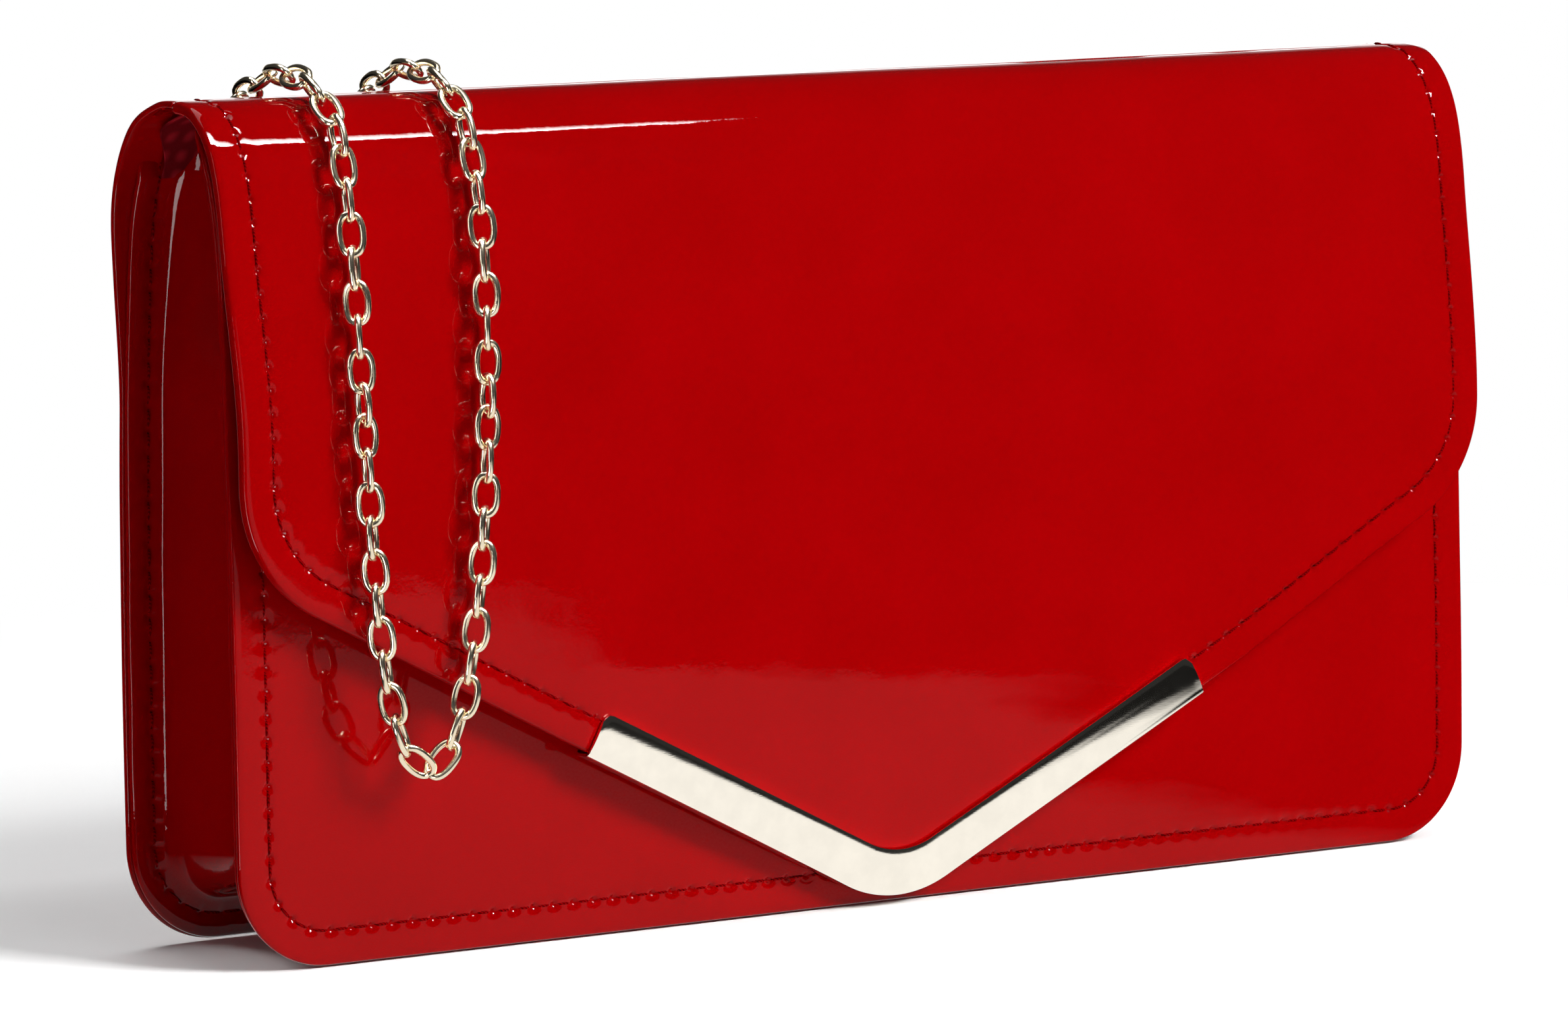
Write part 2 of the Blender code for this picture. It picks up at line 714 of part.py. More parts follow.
def strand_stations(x):
    """Stations of a strand from its hanging end, up the back and over the top, to the front fold."""
    stations = [over_skin(x, rear_length(z), REAR_CHAIN_STANDOFF) for z in (REAR_CHAIN_END_Z, 75.0, 100.0, 122.0)]
    span = FRONT_FOLD - REAR_FOLD
    return stations + [over_skin(x, REAR_FOLD + span * step / 6, CHAIN_TOP_STANDOFF) for step in range(1, 7)]


def chain():
    """One chain in one path: up the back, over the top, the front loop, and back the same way.

    Returns where its left strand turns, at the rear fold, the front fold and the bend.
    """
    loop = [over_skin(x, flap_length(z), CHAIN_STANDOFF) for x, z in LOOP_LEFT + LOOP_BOTTOM + LOOP_RIGHT]
    path = ChainPath(strand_stations(LEFT_STRAND_X) + loop + strand_stations(RIGHT_STRAND_X)[::-1])
    links = sum(count for _, count in CHAIN_RUNS)
    length = links * LINK_PITCH - (len(CHAIN_RUNS) - 1) * HINGE_SLACK
    start, first = (path.total - length) / 2, 0
    starts = []
    for name, count in CHAIN_RUNS:
        chain_run(name, path, start, count, first, links)
        starts.append(start)
        first += count
        start += count * LINK_PITCH - HINGE_SLACK
    half = LINK_PITCH / 2
    rear_turn = link_end(path, starts[1] + HINGE_SLACK - half, 1)
    return rear_turn, link_end(path, starts[2] + half, -1), link_end(path, starts[3] + half, -1)


# ---------------------------------------------------------------- clasps


def clasp_top(x):
    """The top of a clasp's collar: under the end of its chain, clear of the rear panel."""
    y = SKIN_PROFILE.at(rear_length(REAR_CHAIN_END_Z)).x + REAR_CHAIN_STANDOFF
    return Vector((x, y, REAR_CHAIN_END_Z - 4.1))


def flat_plate(name, outline, top, thickness, finish, group=PARTS):
    """A plate upright in the XZ plane, from an outline below a point."""
    curve = bpy.data.curves.new(name, "CURVE")
    curve.dimensions = "2D"
    curve.fill_mode = "BOTH"
    curve.extrude = thickness / 2 * MM
    spline = curve.splines.new("POLY")
    spline.points.add(len(outline) - 1)
    for point, (x, z) in zip(spline.points, outline):
        point.co = (x * MM, z * MM, 0.0, 1.0)
    spline.use_cyclic_u = True
    source = bpy.data.objects.new(name + "_outline", curve)
    CUTTERS.objects.link(source)
    mesh = evaluated_mesh(source)
    bpy.data.objects.remove(source, do_unlink=True)
    mesh.transform(Matrix.Rotation(math.pi / 2, 4, "X"))
    plate = add_object(name, mesh, finish, group)
    plate.location = top * MM
    return plate


def clasp(side):
    """A spring clasp: an eye that swivels in the collar, a hook, and a lever on a pin."""
    name = "left" if side == 0 else "right"
    x = LEFT_STRAND_X if side == 0 else RIGHT_STRAND_X
    top = clasp_top(x)
    outer = [(3.6, -8.0), (3.6, -3.0), (2.2, 0), (-2.2, 0), (-3.6, -3.0), (-4.2, -7), (-4.2, -12), (-2.8, -15.8)]
    outer += [(0, -17.2), (2.8, -16.0), (3.9, -13.4)]
    inner = [(2.2, -13.0), (1.4, -14.6), (0, -15.2), (-1.5, -14.4), (-2.5, -11.5), (-2.4, -6.5), (-1.9, -3.6)]
    inner += [(1.4, -3.6), (2.0, -8.0)]
    hook = flat_plate("clasp_hook_" + name, outer + inner, top, CLASP_THICK, gold())
    slot_low = top + Vector((1.0, -CLASP_LEVER_THICK / 2 - 0.25, -9.0))
    slot_high = top + Vector((4.6, CLASP_LEVER_THICK / 2 + 0.25, -4.9))
    cut(hook, block("slot", slot_low, slot_high, None, group=CUTTERS))
    cut(hook, disc("bore", top + Vector((0, 0, -2.0)), 0.95, 6.0, None, 10, "Z", CUTTERS))
    pin_at = top + Vector((CLASP_PIVOT[0], 0, CLASP_PIVOT[1]))
    cut(hook, disc("pin_hole", pin_at, CLASP_PIN + 0.1, 6.0, None, 8, group=CUTTERS))

    disc("clasp_pin_" + name, pin_at, CLASP_PIN, CLASP_THICK, nickel(), 8)
    outline = [(3.5, -5.3), (3.7, -8.4), (4.9, -9.6), (4.9, -10.4), (3.7, -11.0), (3.6, -12.7), (2.4, -12.5)]
    outline += [(2.3, -8.4), (2.2, -5.3)]
    lever = flat_plate("clasp_lever_" + name, outline, top, CLASP_LEVER_THICK, gold())
    cut(lever, disc("pin_hole", pin_at, CLASP_PIN + 0.1, 6.0, None, 8, group=CUTTERS))
    pivot(lever, pin_at)

    ring_z = 3.6
    path = []
    for step in range(10):
        turn = 2 * math.pi * step / 10
        path.append(top + Vector((2.5 * math.cos(turn), 0, ring_z + 2.5 * math.sin(turn))))
    eye = wire_loop("clasp_eye_" + name, path, 1.2, gold(), bevel=0)
    stem_low, stem_high = -4.5, ring_z - 2.3
    stem_at = top + Vector((0, 0, (stem_low + stem_high) / 2))
    stem = disc("stem", stem_at, 0.75, stem_high - stem_low, None, 10, "Z", CUTTERS)
    head = disc("head", top + Vector((0, 0, -4.4)), 1.3, 0.9, None, 10, "Z", CUTTERS)
    cut(cut(eye, stem, "UNION"), head, "UNION")
    pivot(eye, top)


# ---------------------------------------------------------------- joint axes


def hold(child, parent):
    """Parents an object without moving it."""
    bpy.context.view_layer.update()
    child.parent = parent
    child.matrix_parent_inverse = parent.matrix_world.inverted()


def joint_axis(name, point, parent, pieces):
    """An empty on a joint's axis, which carries the pieces that turn about it."""
    axis = bpy.data.objects.new(name, None)
    axis.empty_display_size = 5 * MM
    axis.location = Vector(point) * MM
    PARTS.objects.link(axis)
    hold(axis, parent)
    for piece in pieces:
        hold(PARTS.objects[piece], axis)
    return axis


def joint_axes(rear_turn, front_turn, bend):
    """Hangs every moving piece on its joint's axis, and the whole purse on one empty."""
    purse = bpy.data.objects.new("purse_frame", None)
    purse.empty_display_size = 20 * MM
    PARTS.objects.link(purse)
    front_pieces = ["front_panel", "front_board", "front_lining", "snap_socket", "snap_backplate", "snap_magnet"]
    joint_axis("mouth_axis", (0.0, FRONT_STATIONS[-1][0], 0.0), purse, front_pieces)
    spine_pieces = ["spine_cover", "spine_lining", "chain_over_top_left", "chain_over_top_right"]
    spine_axis = joint_axis("spine_axis", rear_turn, purse, spine_pieces)
    flap_pieces = ["flap_cover", "flap_board", "flap_lining", "v_trim", "snap_stud"]
    flap_axis = joint_axis("flap_axis", front_turn, spine_axis, flap_pieces)
    strands = ["chain_strand_left", "chain_strand_right"]
    strand_axis = joint_axis("chain_lift_axis", front_turn, flap_axis, strands)
    joint_axis("chain_bend_axis", bend, strand_axis, ["chain_loop_bottom"])
    for name, x in (("left", LEFT_STRAND_X), ("right", RIGHT_STRAND_X)):
        tail_at = Vector((x, rear_turn.y, rear_turn.z))
        tail_pieces = ["chain_tail_" + name, "clasp_eye_" + name]
        tail_axis = joint_axis("chain_tail_axis_" + name, tail_at, purse, tail_pieces)
        clasp_pieces = ["clasp_hook_" + name, "clasp_pin_" + name, "clasp_lever_" + name]
        joint_axis("clasp_axis_" + name, clasp_top(x), tail_axis, clasp_pieces)
    for piece in list(PARTS.objects):
        if piece.parent is None and piece is not purse:
            hold(piece, purse)
    purse.location.y = FRAME_SHIFT * MM


# ---------------------------------------------------------------- the purse

rear_body()
slip_pocket()
front_body()
gusset()
base_board()
spine()
flap()
v_trim()
snap()
for end in (-1, 1):
    chain_ring(end)
turns = chain()
for strand in (0, 1):
    clasp(strand)
joint_axes(*turns)
bpy.context.view_layer.update()
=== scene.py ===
"""Envelope clutch purse in red patent, with a pale gold bar on its flap and a draped cable chain.

Sizes are in millimetres here and become metres when a mesh is made. +X is the purse's width, -Y its
front and +Z up, as in the frame.
"""

import math

import bpy
import numpy as np
from mathutils import Matrix, Vector, geometry, noise


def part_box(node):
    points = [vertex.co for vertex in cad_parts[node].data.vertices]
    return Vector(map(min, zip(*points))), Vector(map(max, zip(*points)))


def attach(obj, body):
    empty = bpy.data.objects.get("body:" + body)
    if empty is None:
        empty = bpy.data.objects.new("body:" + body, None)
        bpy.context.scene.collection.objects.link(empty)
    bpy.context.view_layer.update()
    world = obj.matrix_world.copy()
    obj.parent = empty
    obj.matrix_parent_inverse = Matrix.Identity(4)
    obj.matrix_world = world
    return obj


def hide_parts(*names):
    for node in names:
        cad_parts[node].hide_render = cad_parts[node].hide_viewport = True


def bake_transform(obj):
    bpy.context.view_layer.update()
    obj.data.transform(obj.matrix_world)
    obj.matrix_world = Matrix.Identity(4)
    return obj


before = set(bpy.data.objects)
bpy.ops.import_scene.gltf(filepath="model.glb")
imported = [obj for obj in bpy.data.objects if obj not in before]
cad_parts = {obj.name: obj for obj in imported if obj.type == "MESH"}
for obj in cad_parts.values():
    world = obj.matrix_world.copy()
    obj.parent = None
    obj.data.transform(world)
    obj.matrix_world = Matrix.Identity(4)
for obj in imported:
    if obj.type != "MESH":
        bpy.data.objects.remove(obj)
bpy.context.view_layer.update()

MM = 0.001
BODY_HALF = 130.0
FLAP_HALF = 132.5
CORNER_RADIUS = 17.0
SHIFT_Y = 4.43
BODY_TOP = 137.5

# Side profiles as (y, z): the skin from the rear hem over the top to the flap's point, and the front.
SKIN_STATIONS = [
    (20.0, 0.0), (19.9, 40.0), (18.8, 84.0), (16.3, 116.0), (12.9, 131.5), (5.8, 141.8), (-3.2, 146.0),
    (-10.0, 146.5), (-16.8, 144.9), (-22.4, 139.0), (-25.6, 129.0), (-27.2, 112.0), (-27.6, 88.0),
    (-27.4, 60.0), (-26.6, 32.0), (-24.2, 0.0),
]
FRONT_STATIONS = [
    (-11.6, 141.0), (-14.4, 136.2), (-17.0, 128.0), (-18.6, 116.0), (-19.4, 90.0), (-20.0, 45.0),
    (-20.0, 0.0),
]

FLAP_SLOPE = math.radians(27.0)
FLAP_POINT = -0.35
FLAP_SIDE_RADIUS = 25.0
FLAP_TIP_RADIUS = 22.0
STACK = 2.9

STITCH_INSET = 6.0
STITCH_PITCH = 4.0
HOLE_DEPTH, HOLE_RADIUS = 0.75, 0.48
THREAD_RADIUS, THREAD_LIFT = 0.24, 0.05
BORDER_PITCH = 0.5
COLUMN_GAP = 4.0
RIM_GAP = 1.2
EDGE_THICKNESS = 1.2
SKIN_WALL = 0.35


# ---------------- paths


class Rail:
    """A smooth path through stations, measured by its length, worked out for whole arrays at once."""

    def __init__(self, stations, steps=10):
        pts = [np.array(s, float) for s in stations]
        ends = [pts[0] * 2 - pts[1]] + pts + [pts[-1] * 2 - pts[-2]]
        out = []
        for a, b, c, d in zip(ends, ends[1:], ends[2:], ends[3:]):
            for step in range(steps):
                t = step / steps
                curve = (2 * a - 5 * b + 4 * c - d) * t**2 + (3 * b - a - 3 * c + d) * t**3
                out.append((2 * b + (c - a) * t + curve) / 2)
        self.points = np.array(out + [pts[-1]])
        gaps = np.linalg.norm(np.diff(self.points, axis=0), axis=1)
        self.lengths = np.concatenate([[0.0], np.cumsum(gaps)])
        self.total = float(self.lengths[-1])

    def at(self, length):
        length = np.asarray(length, float)
        return np.stack([np.interp(length, self.lengths, values) for values in self.points.T], -1)

    def tangent(self, length, reach=1.0):
        length = np.asarray(length, float)
        step = self.at(np.minimum(length + reach, self.total)) - self.at(np.maximum(length - reach, 0.0))
        return step / np.linalg.norm(step, axis=-1, keepdims=True)


class Profile(Rail):
    """A side profile whose outer side is on the left of its direction of travel."""

    def outward(self, length):
        along = self.tangent(length)
        return np.stack([along[..., 1], -along[..., 0]], -1)

    def lay(self, x, length, depth):
        """Points (x, y, z) this deep under the outer surface."""
        place = self.at(length) - self.outward(length) * np.asarray(depth, float)[..., None]
        x, y = np.broadcast_arrays(np.asarray(x, float), place[..., 0])
        return np.stack([x, y + SHIFT_Y, place[..., 1]], -1)

    def level_with(self, length, depth):
        return self.at(length)[..., 0] - depth / self.outward(length)[..., 0]

    def length_where(self, inside):
        """The first length whose point is inside, or the whole length."""
        lengths = np.arange(0.0, self.total, 0.05)
        hit = inside(self.at(lengths))
        return float(lengths[np.argmax(hit)]) if hit.any() else self.total

    def length_at(self, z, start, end, way=-1.0):
        """The length at which the profile is at a height. It falls from start to end, or rises at way 1."""
        lengths = np.linspace(start, end, 3000)
        return np.interp(way * np.asarray(z, float), way * self.at(lengths)[:, 1], lengths)


SKIN = Profile(SKIN_STATIONS)
FRONT = Profile(FRONT_STATIONS)
REAR_FOLD = SKIN.length_where(lambda p: p[:, 1] >= 134.0)
SUMMIT = SKIN.length_where(lambda p: p[:, 0] <= -10.0)
FRONT_FOLD = SKIN.length_where(lambda p: (p[:, 1] <= 137.0) & (p[:, 0] < -10.0))


def flap_length(z):
    return SKIN.length_at(z, SUMMIT, SKIN.total)


def rear_length(z):
    return SKIN.length_at(z, 0, SUMMIT, 1.0)


def front_length(z):
    return FRONT.length_at(z, 0, FRONT.total)


# ---------------- meshes


def smooth_share(value, low, high):
    share = np.clip((np.asarray(value, float) - low) / (high - low), 0.0, 1.0)
    return share * share * (3 - 2 * share)


def make(name, points, faces, finish):
    """An object from points in millimetres."""
    mesh = bpy.data.meshes.new(name)
    mesh.from_pydata((np.asarray(points, float) * MM).tolist(), [], [tuple(f) for f in faces])
    mesh.validate()
    obj = bpy.data.objects.new(name, mesh)
    bpy.context.scene.collection.objects.link(obj)
    obj.data.materials.append(finish)
    obj.data.shade_smooth()
    return obj


def stand_in(obj, node, body=None):
    """Puts a piece in a CAD node's place, and on a body if it moves with one only."""
    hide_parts(node)
    if body:
        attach(obj, body)
    return obj


def wall(obj, thickness, offset=-1.0):
    """Gives a sheet its thickness, on its inner side."""
    solid = obj.modifiers.new("wall", "SOLIDIFY")
    solid.thickness = thickness * MM
    solid.offset = offset
    return obj


def grid_faces(rows, columns, closed=False):
    faces = []
    last = columns if closed else columns - 1
    for r in range(rows - 1):
        for c in range(last):
            d = (c + 1) % columns
            e, f = r * columns, (r + 1) * columns
            faces.append((e + c, e + d, f + d, f + c))
    return faces


def sheet(name, grid, finish, flip=False):
    """An object from rows of points in millimetres."""
    grid = np.asarray(grid, float)
    faces = grid_faces(*grid.shape[:2])
    if flip:
        faces = [face[::-1] for face in faces]
    return make(name, grid.reshape(-1, 3), faces, finish)


def tube(path, radius, sides, closed=False):
    """Rings of points and faces of a round wire along a path of vectors, with flat end caps if it's open."""
    path = [Vector(p) for p in path]
    count = len(path)
    points, faces = [], []
    side = None
    for i, here in enumerate(path):
        before = path[i - 1] if i or closed else path[0]
        after = path[(i + 1) % count] if i < count - 1 or closed else path[-1]
        along = (after - before).normalized()
        if side is None:
            side = along.orthogonal().normalized()
        side = (side - along * side.dot(along)).normalized()
        over = along.cross(side)
        for k in range(sides):
            turn = 2 * math.pi * k / sides
            points.append(here + side * (radius * math.cos(turn)) + over * (radius * math.sin(turn)))
    rings = count if closed else count - 1
    for i in range(rings):
        j = (i + 1) % count
        for k in range(sides):
            m = (k + 1) % sides
            faces.append((i * sides + k, i * sides + m, j * sides + m, j * sides + k))
    if not closed:
        faces.append(tuple(range(sides))[::-1])
        faces.append(tuple(range((count - 1) * sides, count * sides)))
    return points, faces


def gather(parts):
    """Joins (points, faces) pairs into one pair."""
    points, faces = [], []
    for some, their in parts:
        base = len(points)
        points += [tuple(p) for p in some]
        faces += [tuple(base + i for i in face) for face in their]
    return points, faces


# ---------------- sewn sheets


def resample(line, pitch):
    """A polyline again, at an even spacing close to the pitch."""
    line = np.asarray(line, float)
    along = np.concatenate([[0.0], np.cumsum(np.linalg.norm(np.diff(line, axis=0), axis=1))])
    count = int(round(along[-1] / pitch)) + 1
    wanted = np.linspace(0.0, along[-1], count)
    return np.stack([np.interp(wanted, along, line[:, k]) for k in range(line.shape[1])], -1)


def outward_of(line):
    """Unit normals, away from the middle, of a border that runs down the left side and up the right."""
    way = math.copysign(1.0, line[1, 1] - line[0, 1])
    step = np.gradient(line, axis=0) * -way
    step[0], step[-1] = (0.0, -1.0), (0.0, 1.0)
    smooth = step.copy()
    smooth[1:-1] = (step[:-2] + 2 * step[1:-1] + step[2:]) / 4
    smooth /= np.linalg.norm(smooth, axis=1, keepdims=True)
    return np.stack([smooth[:, 1], -smooth[:, 0]], -1)


def arc(centre, radius, start, end, steps):
    turns = np.linspace(math.radians(start), math.radians(end), steps)
    return [(centre[0] + radius * math.cos(t), centre[1] + radius * math.sin(t)) for t in turns]


def ripple(x, s, seed, amount):
    """Soft hollows and swells of a skin laid over board."""
    out = np.empty(len(x))
    for i, (a, b) in enumerate(zip(x, s)):
        slow = noise.noise(Vector((a / 75.0, b / 46.0, seed)))
        quick = noise.noise(Vector((a / 26.0, b / 19.0, seed + 7.0)))
        out[i] = slow + 0.28 * quick
    return amount * out


def draw_in(x, s, profile):
    """Where the skin lies across: the flap is sewn on a little askew, so its right side is drawn in."""
    if profile is not SKIN:
        return x
    z = profile.at(s)[..., 1]
    front = smooth_share(s, REAR_FOLD - 20.0, REAR_FOLD + 15.0)
    right = -5.6 + 1.6 * smooth_share(-z, -122.0, -84.0)
    left = -1.2 + 1.9 * smooth_share(-z, -125.0, -88.0)
    x = np.asarray(x, float)
    return x + front * np.where(x > 0, right, left) * smooth_share(np.abs(x), 68.0, 122.0)


class Seam:
    """A line of stitches at an inset from a border: where its holes are and how it pulls the skin in."""

    def __init__(self, border, inset=STITCH_INSET):
        self.inset = inset
        self.line = border - outward_of(border) * inset
        gaps = np.linalg.norm(np.diff(self.line, axis=0), axis=1)
        self.along = np.concatenate([[0.0], np.cumsum(gaps)])
        self.count = int(self.along[-1] / STITCH_PITCH)
        self.pitch = self.along[-1] / self.count

    def at(self, along):
        return [np.interp(along, self.along, values) for values in self.line.T]

    def pull(self, inset):
        """How far the skin is pulled in along a loop at this inset, at each sample of the border."""
        off = abs(inset - self.inset)
        near = (self.along + self.pitch / 2) % self.pitch - self.pitch / 2
        reach = np.sqrt(near**2 + off**2)
        hole = HOLE_DEPTH * np.exp(-((reach / HOLE_RADIUS) ** 2))
        pucker = 0.1 * np.exp(-((reach / 1.25) ** 2))
        furrow = 0.07 * math.exp(-((off / 1.1) ** 2))
        return hole + pucker + furrow

    def stitches(self, profile):
        """Threads from hole to hole, laid over a profile."""
        share = np.array([0.14, 0.2, 0.32, 0.5, 0.68, 0.8, 0.86])
        dip = np.array([HOLE_DEPTH, 0.3, 0.04, 0.0, 0.04, 0.3, HOLE_DEPTH]) - THREAD_LIFT
        parts = []
        for k in range(self.count):
            x, s = self.at(share * self.pitch + k * self.pitch)
            parts.append(tube(profile.lay(draw_in(x, s, profile), s, dip + 0.1), THREAD_RADIUS, 6))
        return gather(parts)


FACE_INSETS = [1.6, 2.4, 3.2, 4.0, 4.6, 5.0, 5.3, 5.6, 5.8, 6.0, 6.2, 6.4, 6.7, 7.0, 7.4, 8.0, 8.8, 9.8]
FACE_INSETS += [11.0, 12.5]


def edge_loops(thickness):
    """(inset, depth) pairs from the turned lip on the back, round the edge, to the face."""
    half = thickness / 2
    loops = [(8.0, thickness + 0.25), (7.4, thickness), (4.0, thickness), (1.6, thickness)]
    for turn in np.radians([75, 50, 25, 0, -25, -50, -70]):
        loops.append((half * 0.9 * (1 - math.cos(turn)), half + half * math.sin(turn)))
    return loops


def sewn_sheet(name, profile, border, thickness, seed, amount, seam, row_gaps, top_cut):
    """A sheet over a profile: a turned edge, a sewn border and a softly rippled middle.

    border runs from the cut at top_cut, down the left, round and up the right, as (x, s).
    """
    normals = outward_of(border)
    loops = [(inset, depth, inset > 1.5 and depth == 0.0) for inset, depth in edge_loops(thickness)]
    loops += [(inset, 0.0, True) for inset in FACE_INSETS]
    flat, depth = [], []
    for inset, deep, face in loops:
        line = border - normals * inset
        flat.append(line)
        pull = seam.pull(inset) if face else 0.0
        depth.append(np.full(len(line), deep) + pull)
    count, columns = len(flat), len(border)
    faces = grid_faces(count, columns)
    if border[1, 1] < border[0, 1]:
        faces = [face[::-1] for face in faces]
    inner = (count - 1) * columns
    flat, depth = np.concatenate(flat), np.concatenate(depth)

    rim = flat[inner:]
    low, high = min(rim[:, 1].min(), top_cut), max(rim[:, 1].max(), top_cut)
    width = rim[-1, 0] - rim[0, 0]
    steps = int(width / COLUMN_GAP)
    closing = [(rim[-1, 0] - width * k / steps, top_cut) for k in range(1, steps)]
    ring = [tuple(p) for p in rim] + closing
    grid = []
    for s in row_gaps:
        if low + 0.5 < s < high - 0.3 or abs(s - top_cut) <= 0.3:
            grid += [(x, s) for x in np.arange(-128.0, 128.1, COLUMN_GAP)]
    grid = [p for p in grid if inside(p, rim, top_cut)]
    verts = [Vector(p) for p in ring + grid]
    edges = [(k, (k + 1) % len(ring)) for k in range(len(ring))]
    out = geometry.delaunay_2d_cdt(verts, edges, [list(range(len(ring)))], 1, 1e-5)
    made, tris, origins = out[0], out[2], out[3]
    index, fresh = [], []
    for k, origin in enumerate(origins):
        own = [o for o in origin if o < len(rim)]
        if own:
            index.append(inner + own[0])
            continue
        index.append(count * columns + len(fresh))
        fresh.append(tuple(made[k]))
    fresh = np.array(fresh, float)
    flat = np.concatenate([flat, fresh])
    depth = np.concatenate([depth, np.zeros(len(fresh))])
    faces += [tuple(index[k] for k in reversed(tri)) for tri in tris]
    x, s = flat[:, 0], flat[:, 1]
    depth = depth - ripple(x, s, seed, amount)
    return make(name, profile.lay(draw_in(x, s, profile), s, depth), faces, RED)


def inside(point, rim, top_cut):
    """Whether a grid point is clear of the rim, which is convex and symmetric about X."""
    x, s = point
    half = len(rim) // 2
    side = rim[half:]
    order = np.argsort(side[:, 1])
    reach = np.interp(s, side[order, 1], side[order, 0])
    floor = np.interp(abs(x), side[:, 0], side[:, 1])
    if top_cut > floor:
        clear = floor + RIM_GAP < s < top_cut - 0.2
    else:
        clear = top_cut + 0.2 < s < floor - RIM_GAP
    return clear and abs(x) < reach - RIM_GAP


def rows_between(start, end, profile):
    """Lengths of rows, closer together where the profile turns."""
    rows, here = [], start
    while here < end:
        rows.append(here)
        bend = np.linalg.norm(profile.tangent(here + 1.0) - profile.tangent(max(here - 1.0, 0.0))) / 2
        here += float(np.clip(0.05 / max(bend, 1e-4), 0.7, 3.5))
    return rows


def round_border(left, floor, way, pitch):
    """A border from the points of its left side: then round the lower corners and up the right side."""
    for turn in np.linspace(0, math.pi / 2, 30)[1:]:
        x = -BODY_HALF + CORNER_RADIUS * (1 - math.cos(turn))
        left.append((x, floor + way * CORNER_RADIUS * (1 - math.sin(turn))))
    return resample(left + [(-x, s) for x, s in reversed(left)], pitch)


def panel_border(floor, top, half_at):
    """The body's border as (x, s): down the left from top, round the corners at floor, up the right."""
    way = 1.0 if top > floor else -1.0
    left = [(-half_at(s), s) for s in np.linspace(top, floor + way * CORNER_RADIUS, 90)]
    return round_border(left, floor, way, BORDER_PITCH)


def flap_border(top):
    """The flap's border as (x, s): straight sides, round shoulders, slopes and a round tip."""
    side, shoulder, tip = FLAP_HALF, FLAP_SIDE_RADIUS, FLAP_TIP_RADIUS
    reach = side - shoulder
    centre = (-reach, FLAP_POINT + reach * math.tan(FLAP_SLOPE) + shoulder / math.cos(FLAP_SLOPE))
    tip_centre = (0.0, FLAP_POINT + tip / math.cos(FLAP_SLOPE))
    slope = math.degrees(FLAP_SLOPE)
    curve = arc(centre, shoulder, 180, 270 - slope, 30) + arc(tip_centre, tip, 270 - slope, 270, 20)
    curve = np.array(curve)
    lower = np.stack([curve[:, 0], flap_length(curve[:, 1])], -1)
    straight = [(-side, s) for s in np.linspace(top, lower[0, 1], 80)[:-1]]
    left = straight + [tuple(p) for p in lower]
    return resample(left + [(-x, s) for x, s in reversed(left[:-1])], BORDER_PITCH)


# ---------------- finishes


def feed(tree, node, **inputs):
    """Gives a node's inputs their values, or the sockets that drive them."""
    for name, value in inputs.items():
        socket = node.inputs[name.replace("_", " ")]
        if isinstance(value, bpy.types.NodeSocket):
            tree.links.new(value, socket)
        else:
            socket.default_value = value


def node_of(tree, kind, **inputs):
    """A new shader node with its inputs fed."""
    node = tree.nodes.new("ShaderNode" + kind)
    feed(tree, node, **inputs)
    return node


def finish_of(name, colour, roughness, metallic=0.0):
    """A new material, its shader and its node tree."""
    mat = bpy.data.materials.new(name)
    mat.use_nodes = True
    tree = mat.node_tree
    shader = tree.nodes["Principled BSDF"]
    feed(tree, shader, Base_Color=(*colour, 1.0), Roughness=roughness, Metallic=metallic)
    return mat, shader, tree


def object_space(tree, scale=(1.0, 1.0, 1.0)):
    place = node_of(tree, "TexCoord").outputs["Object"]
    return node_of(tree, "Mapping", Scale=scale, Vector=place).outputs["Vector"]


def noise_of(tree, vector, scale, detail=2.0):
    return node_of(tree, "TexNoise", Scale=scale, Detail=detail, Vector=vector).outputs["Fac"]


def bump_of(tree, height, strength, distance, below=None):
    bump = node_of(tree, "Bump", Strength=strength, Distance=distance, Height=height)
    if below is not None:
        feed(tree, bump, Normal=below)
    return bump.outputs["Normal"]


def ramp_of(tree, value, low, high, dark, light):
    """A colour that runs from dark to light as the value goes from low to high."""
    ramp = node_of(tree, "ValToRGB", Fac=value)
    for stop, position, colour in zip(ramp.color_ramp.elements, (low, high), (dark, light)):
        stop.position = position
        stop.color = (*colour, 1.0)
    return ramp.outputs["Color"]


def range_of(tree, value, low, high, at_low, at_high):
    """A socket that runs from at_low to at_high as the value goes from low to high."""
    share = node_of(tree, "MapRange", From_Min=low, From_Max=high, To_Min=at_low, To_Max=at_high)
    feed(tree, share, Value=value)
    return share.outputs["Result"]


def math_of(tree, operation, *values):
    """A socket with the result of an operation on sockets and numbers."""
    node = node_of(tree, "Math")
    node.operation = operation
    for socket, value in zip(node.inputs, values):
        if isinstance(value, float):
            socket.default_value = value
        else:
            tree.links.new(value, socket)
    return node.outputs["Value"]


def mix_of(tree, share, first, second):
    """A shader that runs from the first to the second as the share goes from 0 to 1."""
    mix = node_of(tree, "MixShader")
    for socket, value in zip(mix.inputs, (share, first, second)):
        tree.links.new(value, socket)
    return mix.outputs["Shader"]


def parts_of(tree, vector):
    """The X, Y and Z sockets of a vector."""
    return node_of(tree, "SeparateXYZ", Vector=vector).outputs


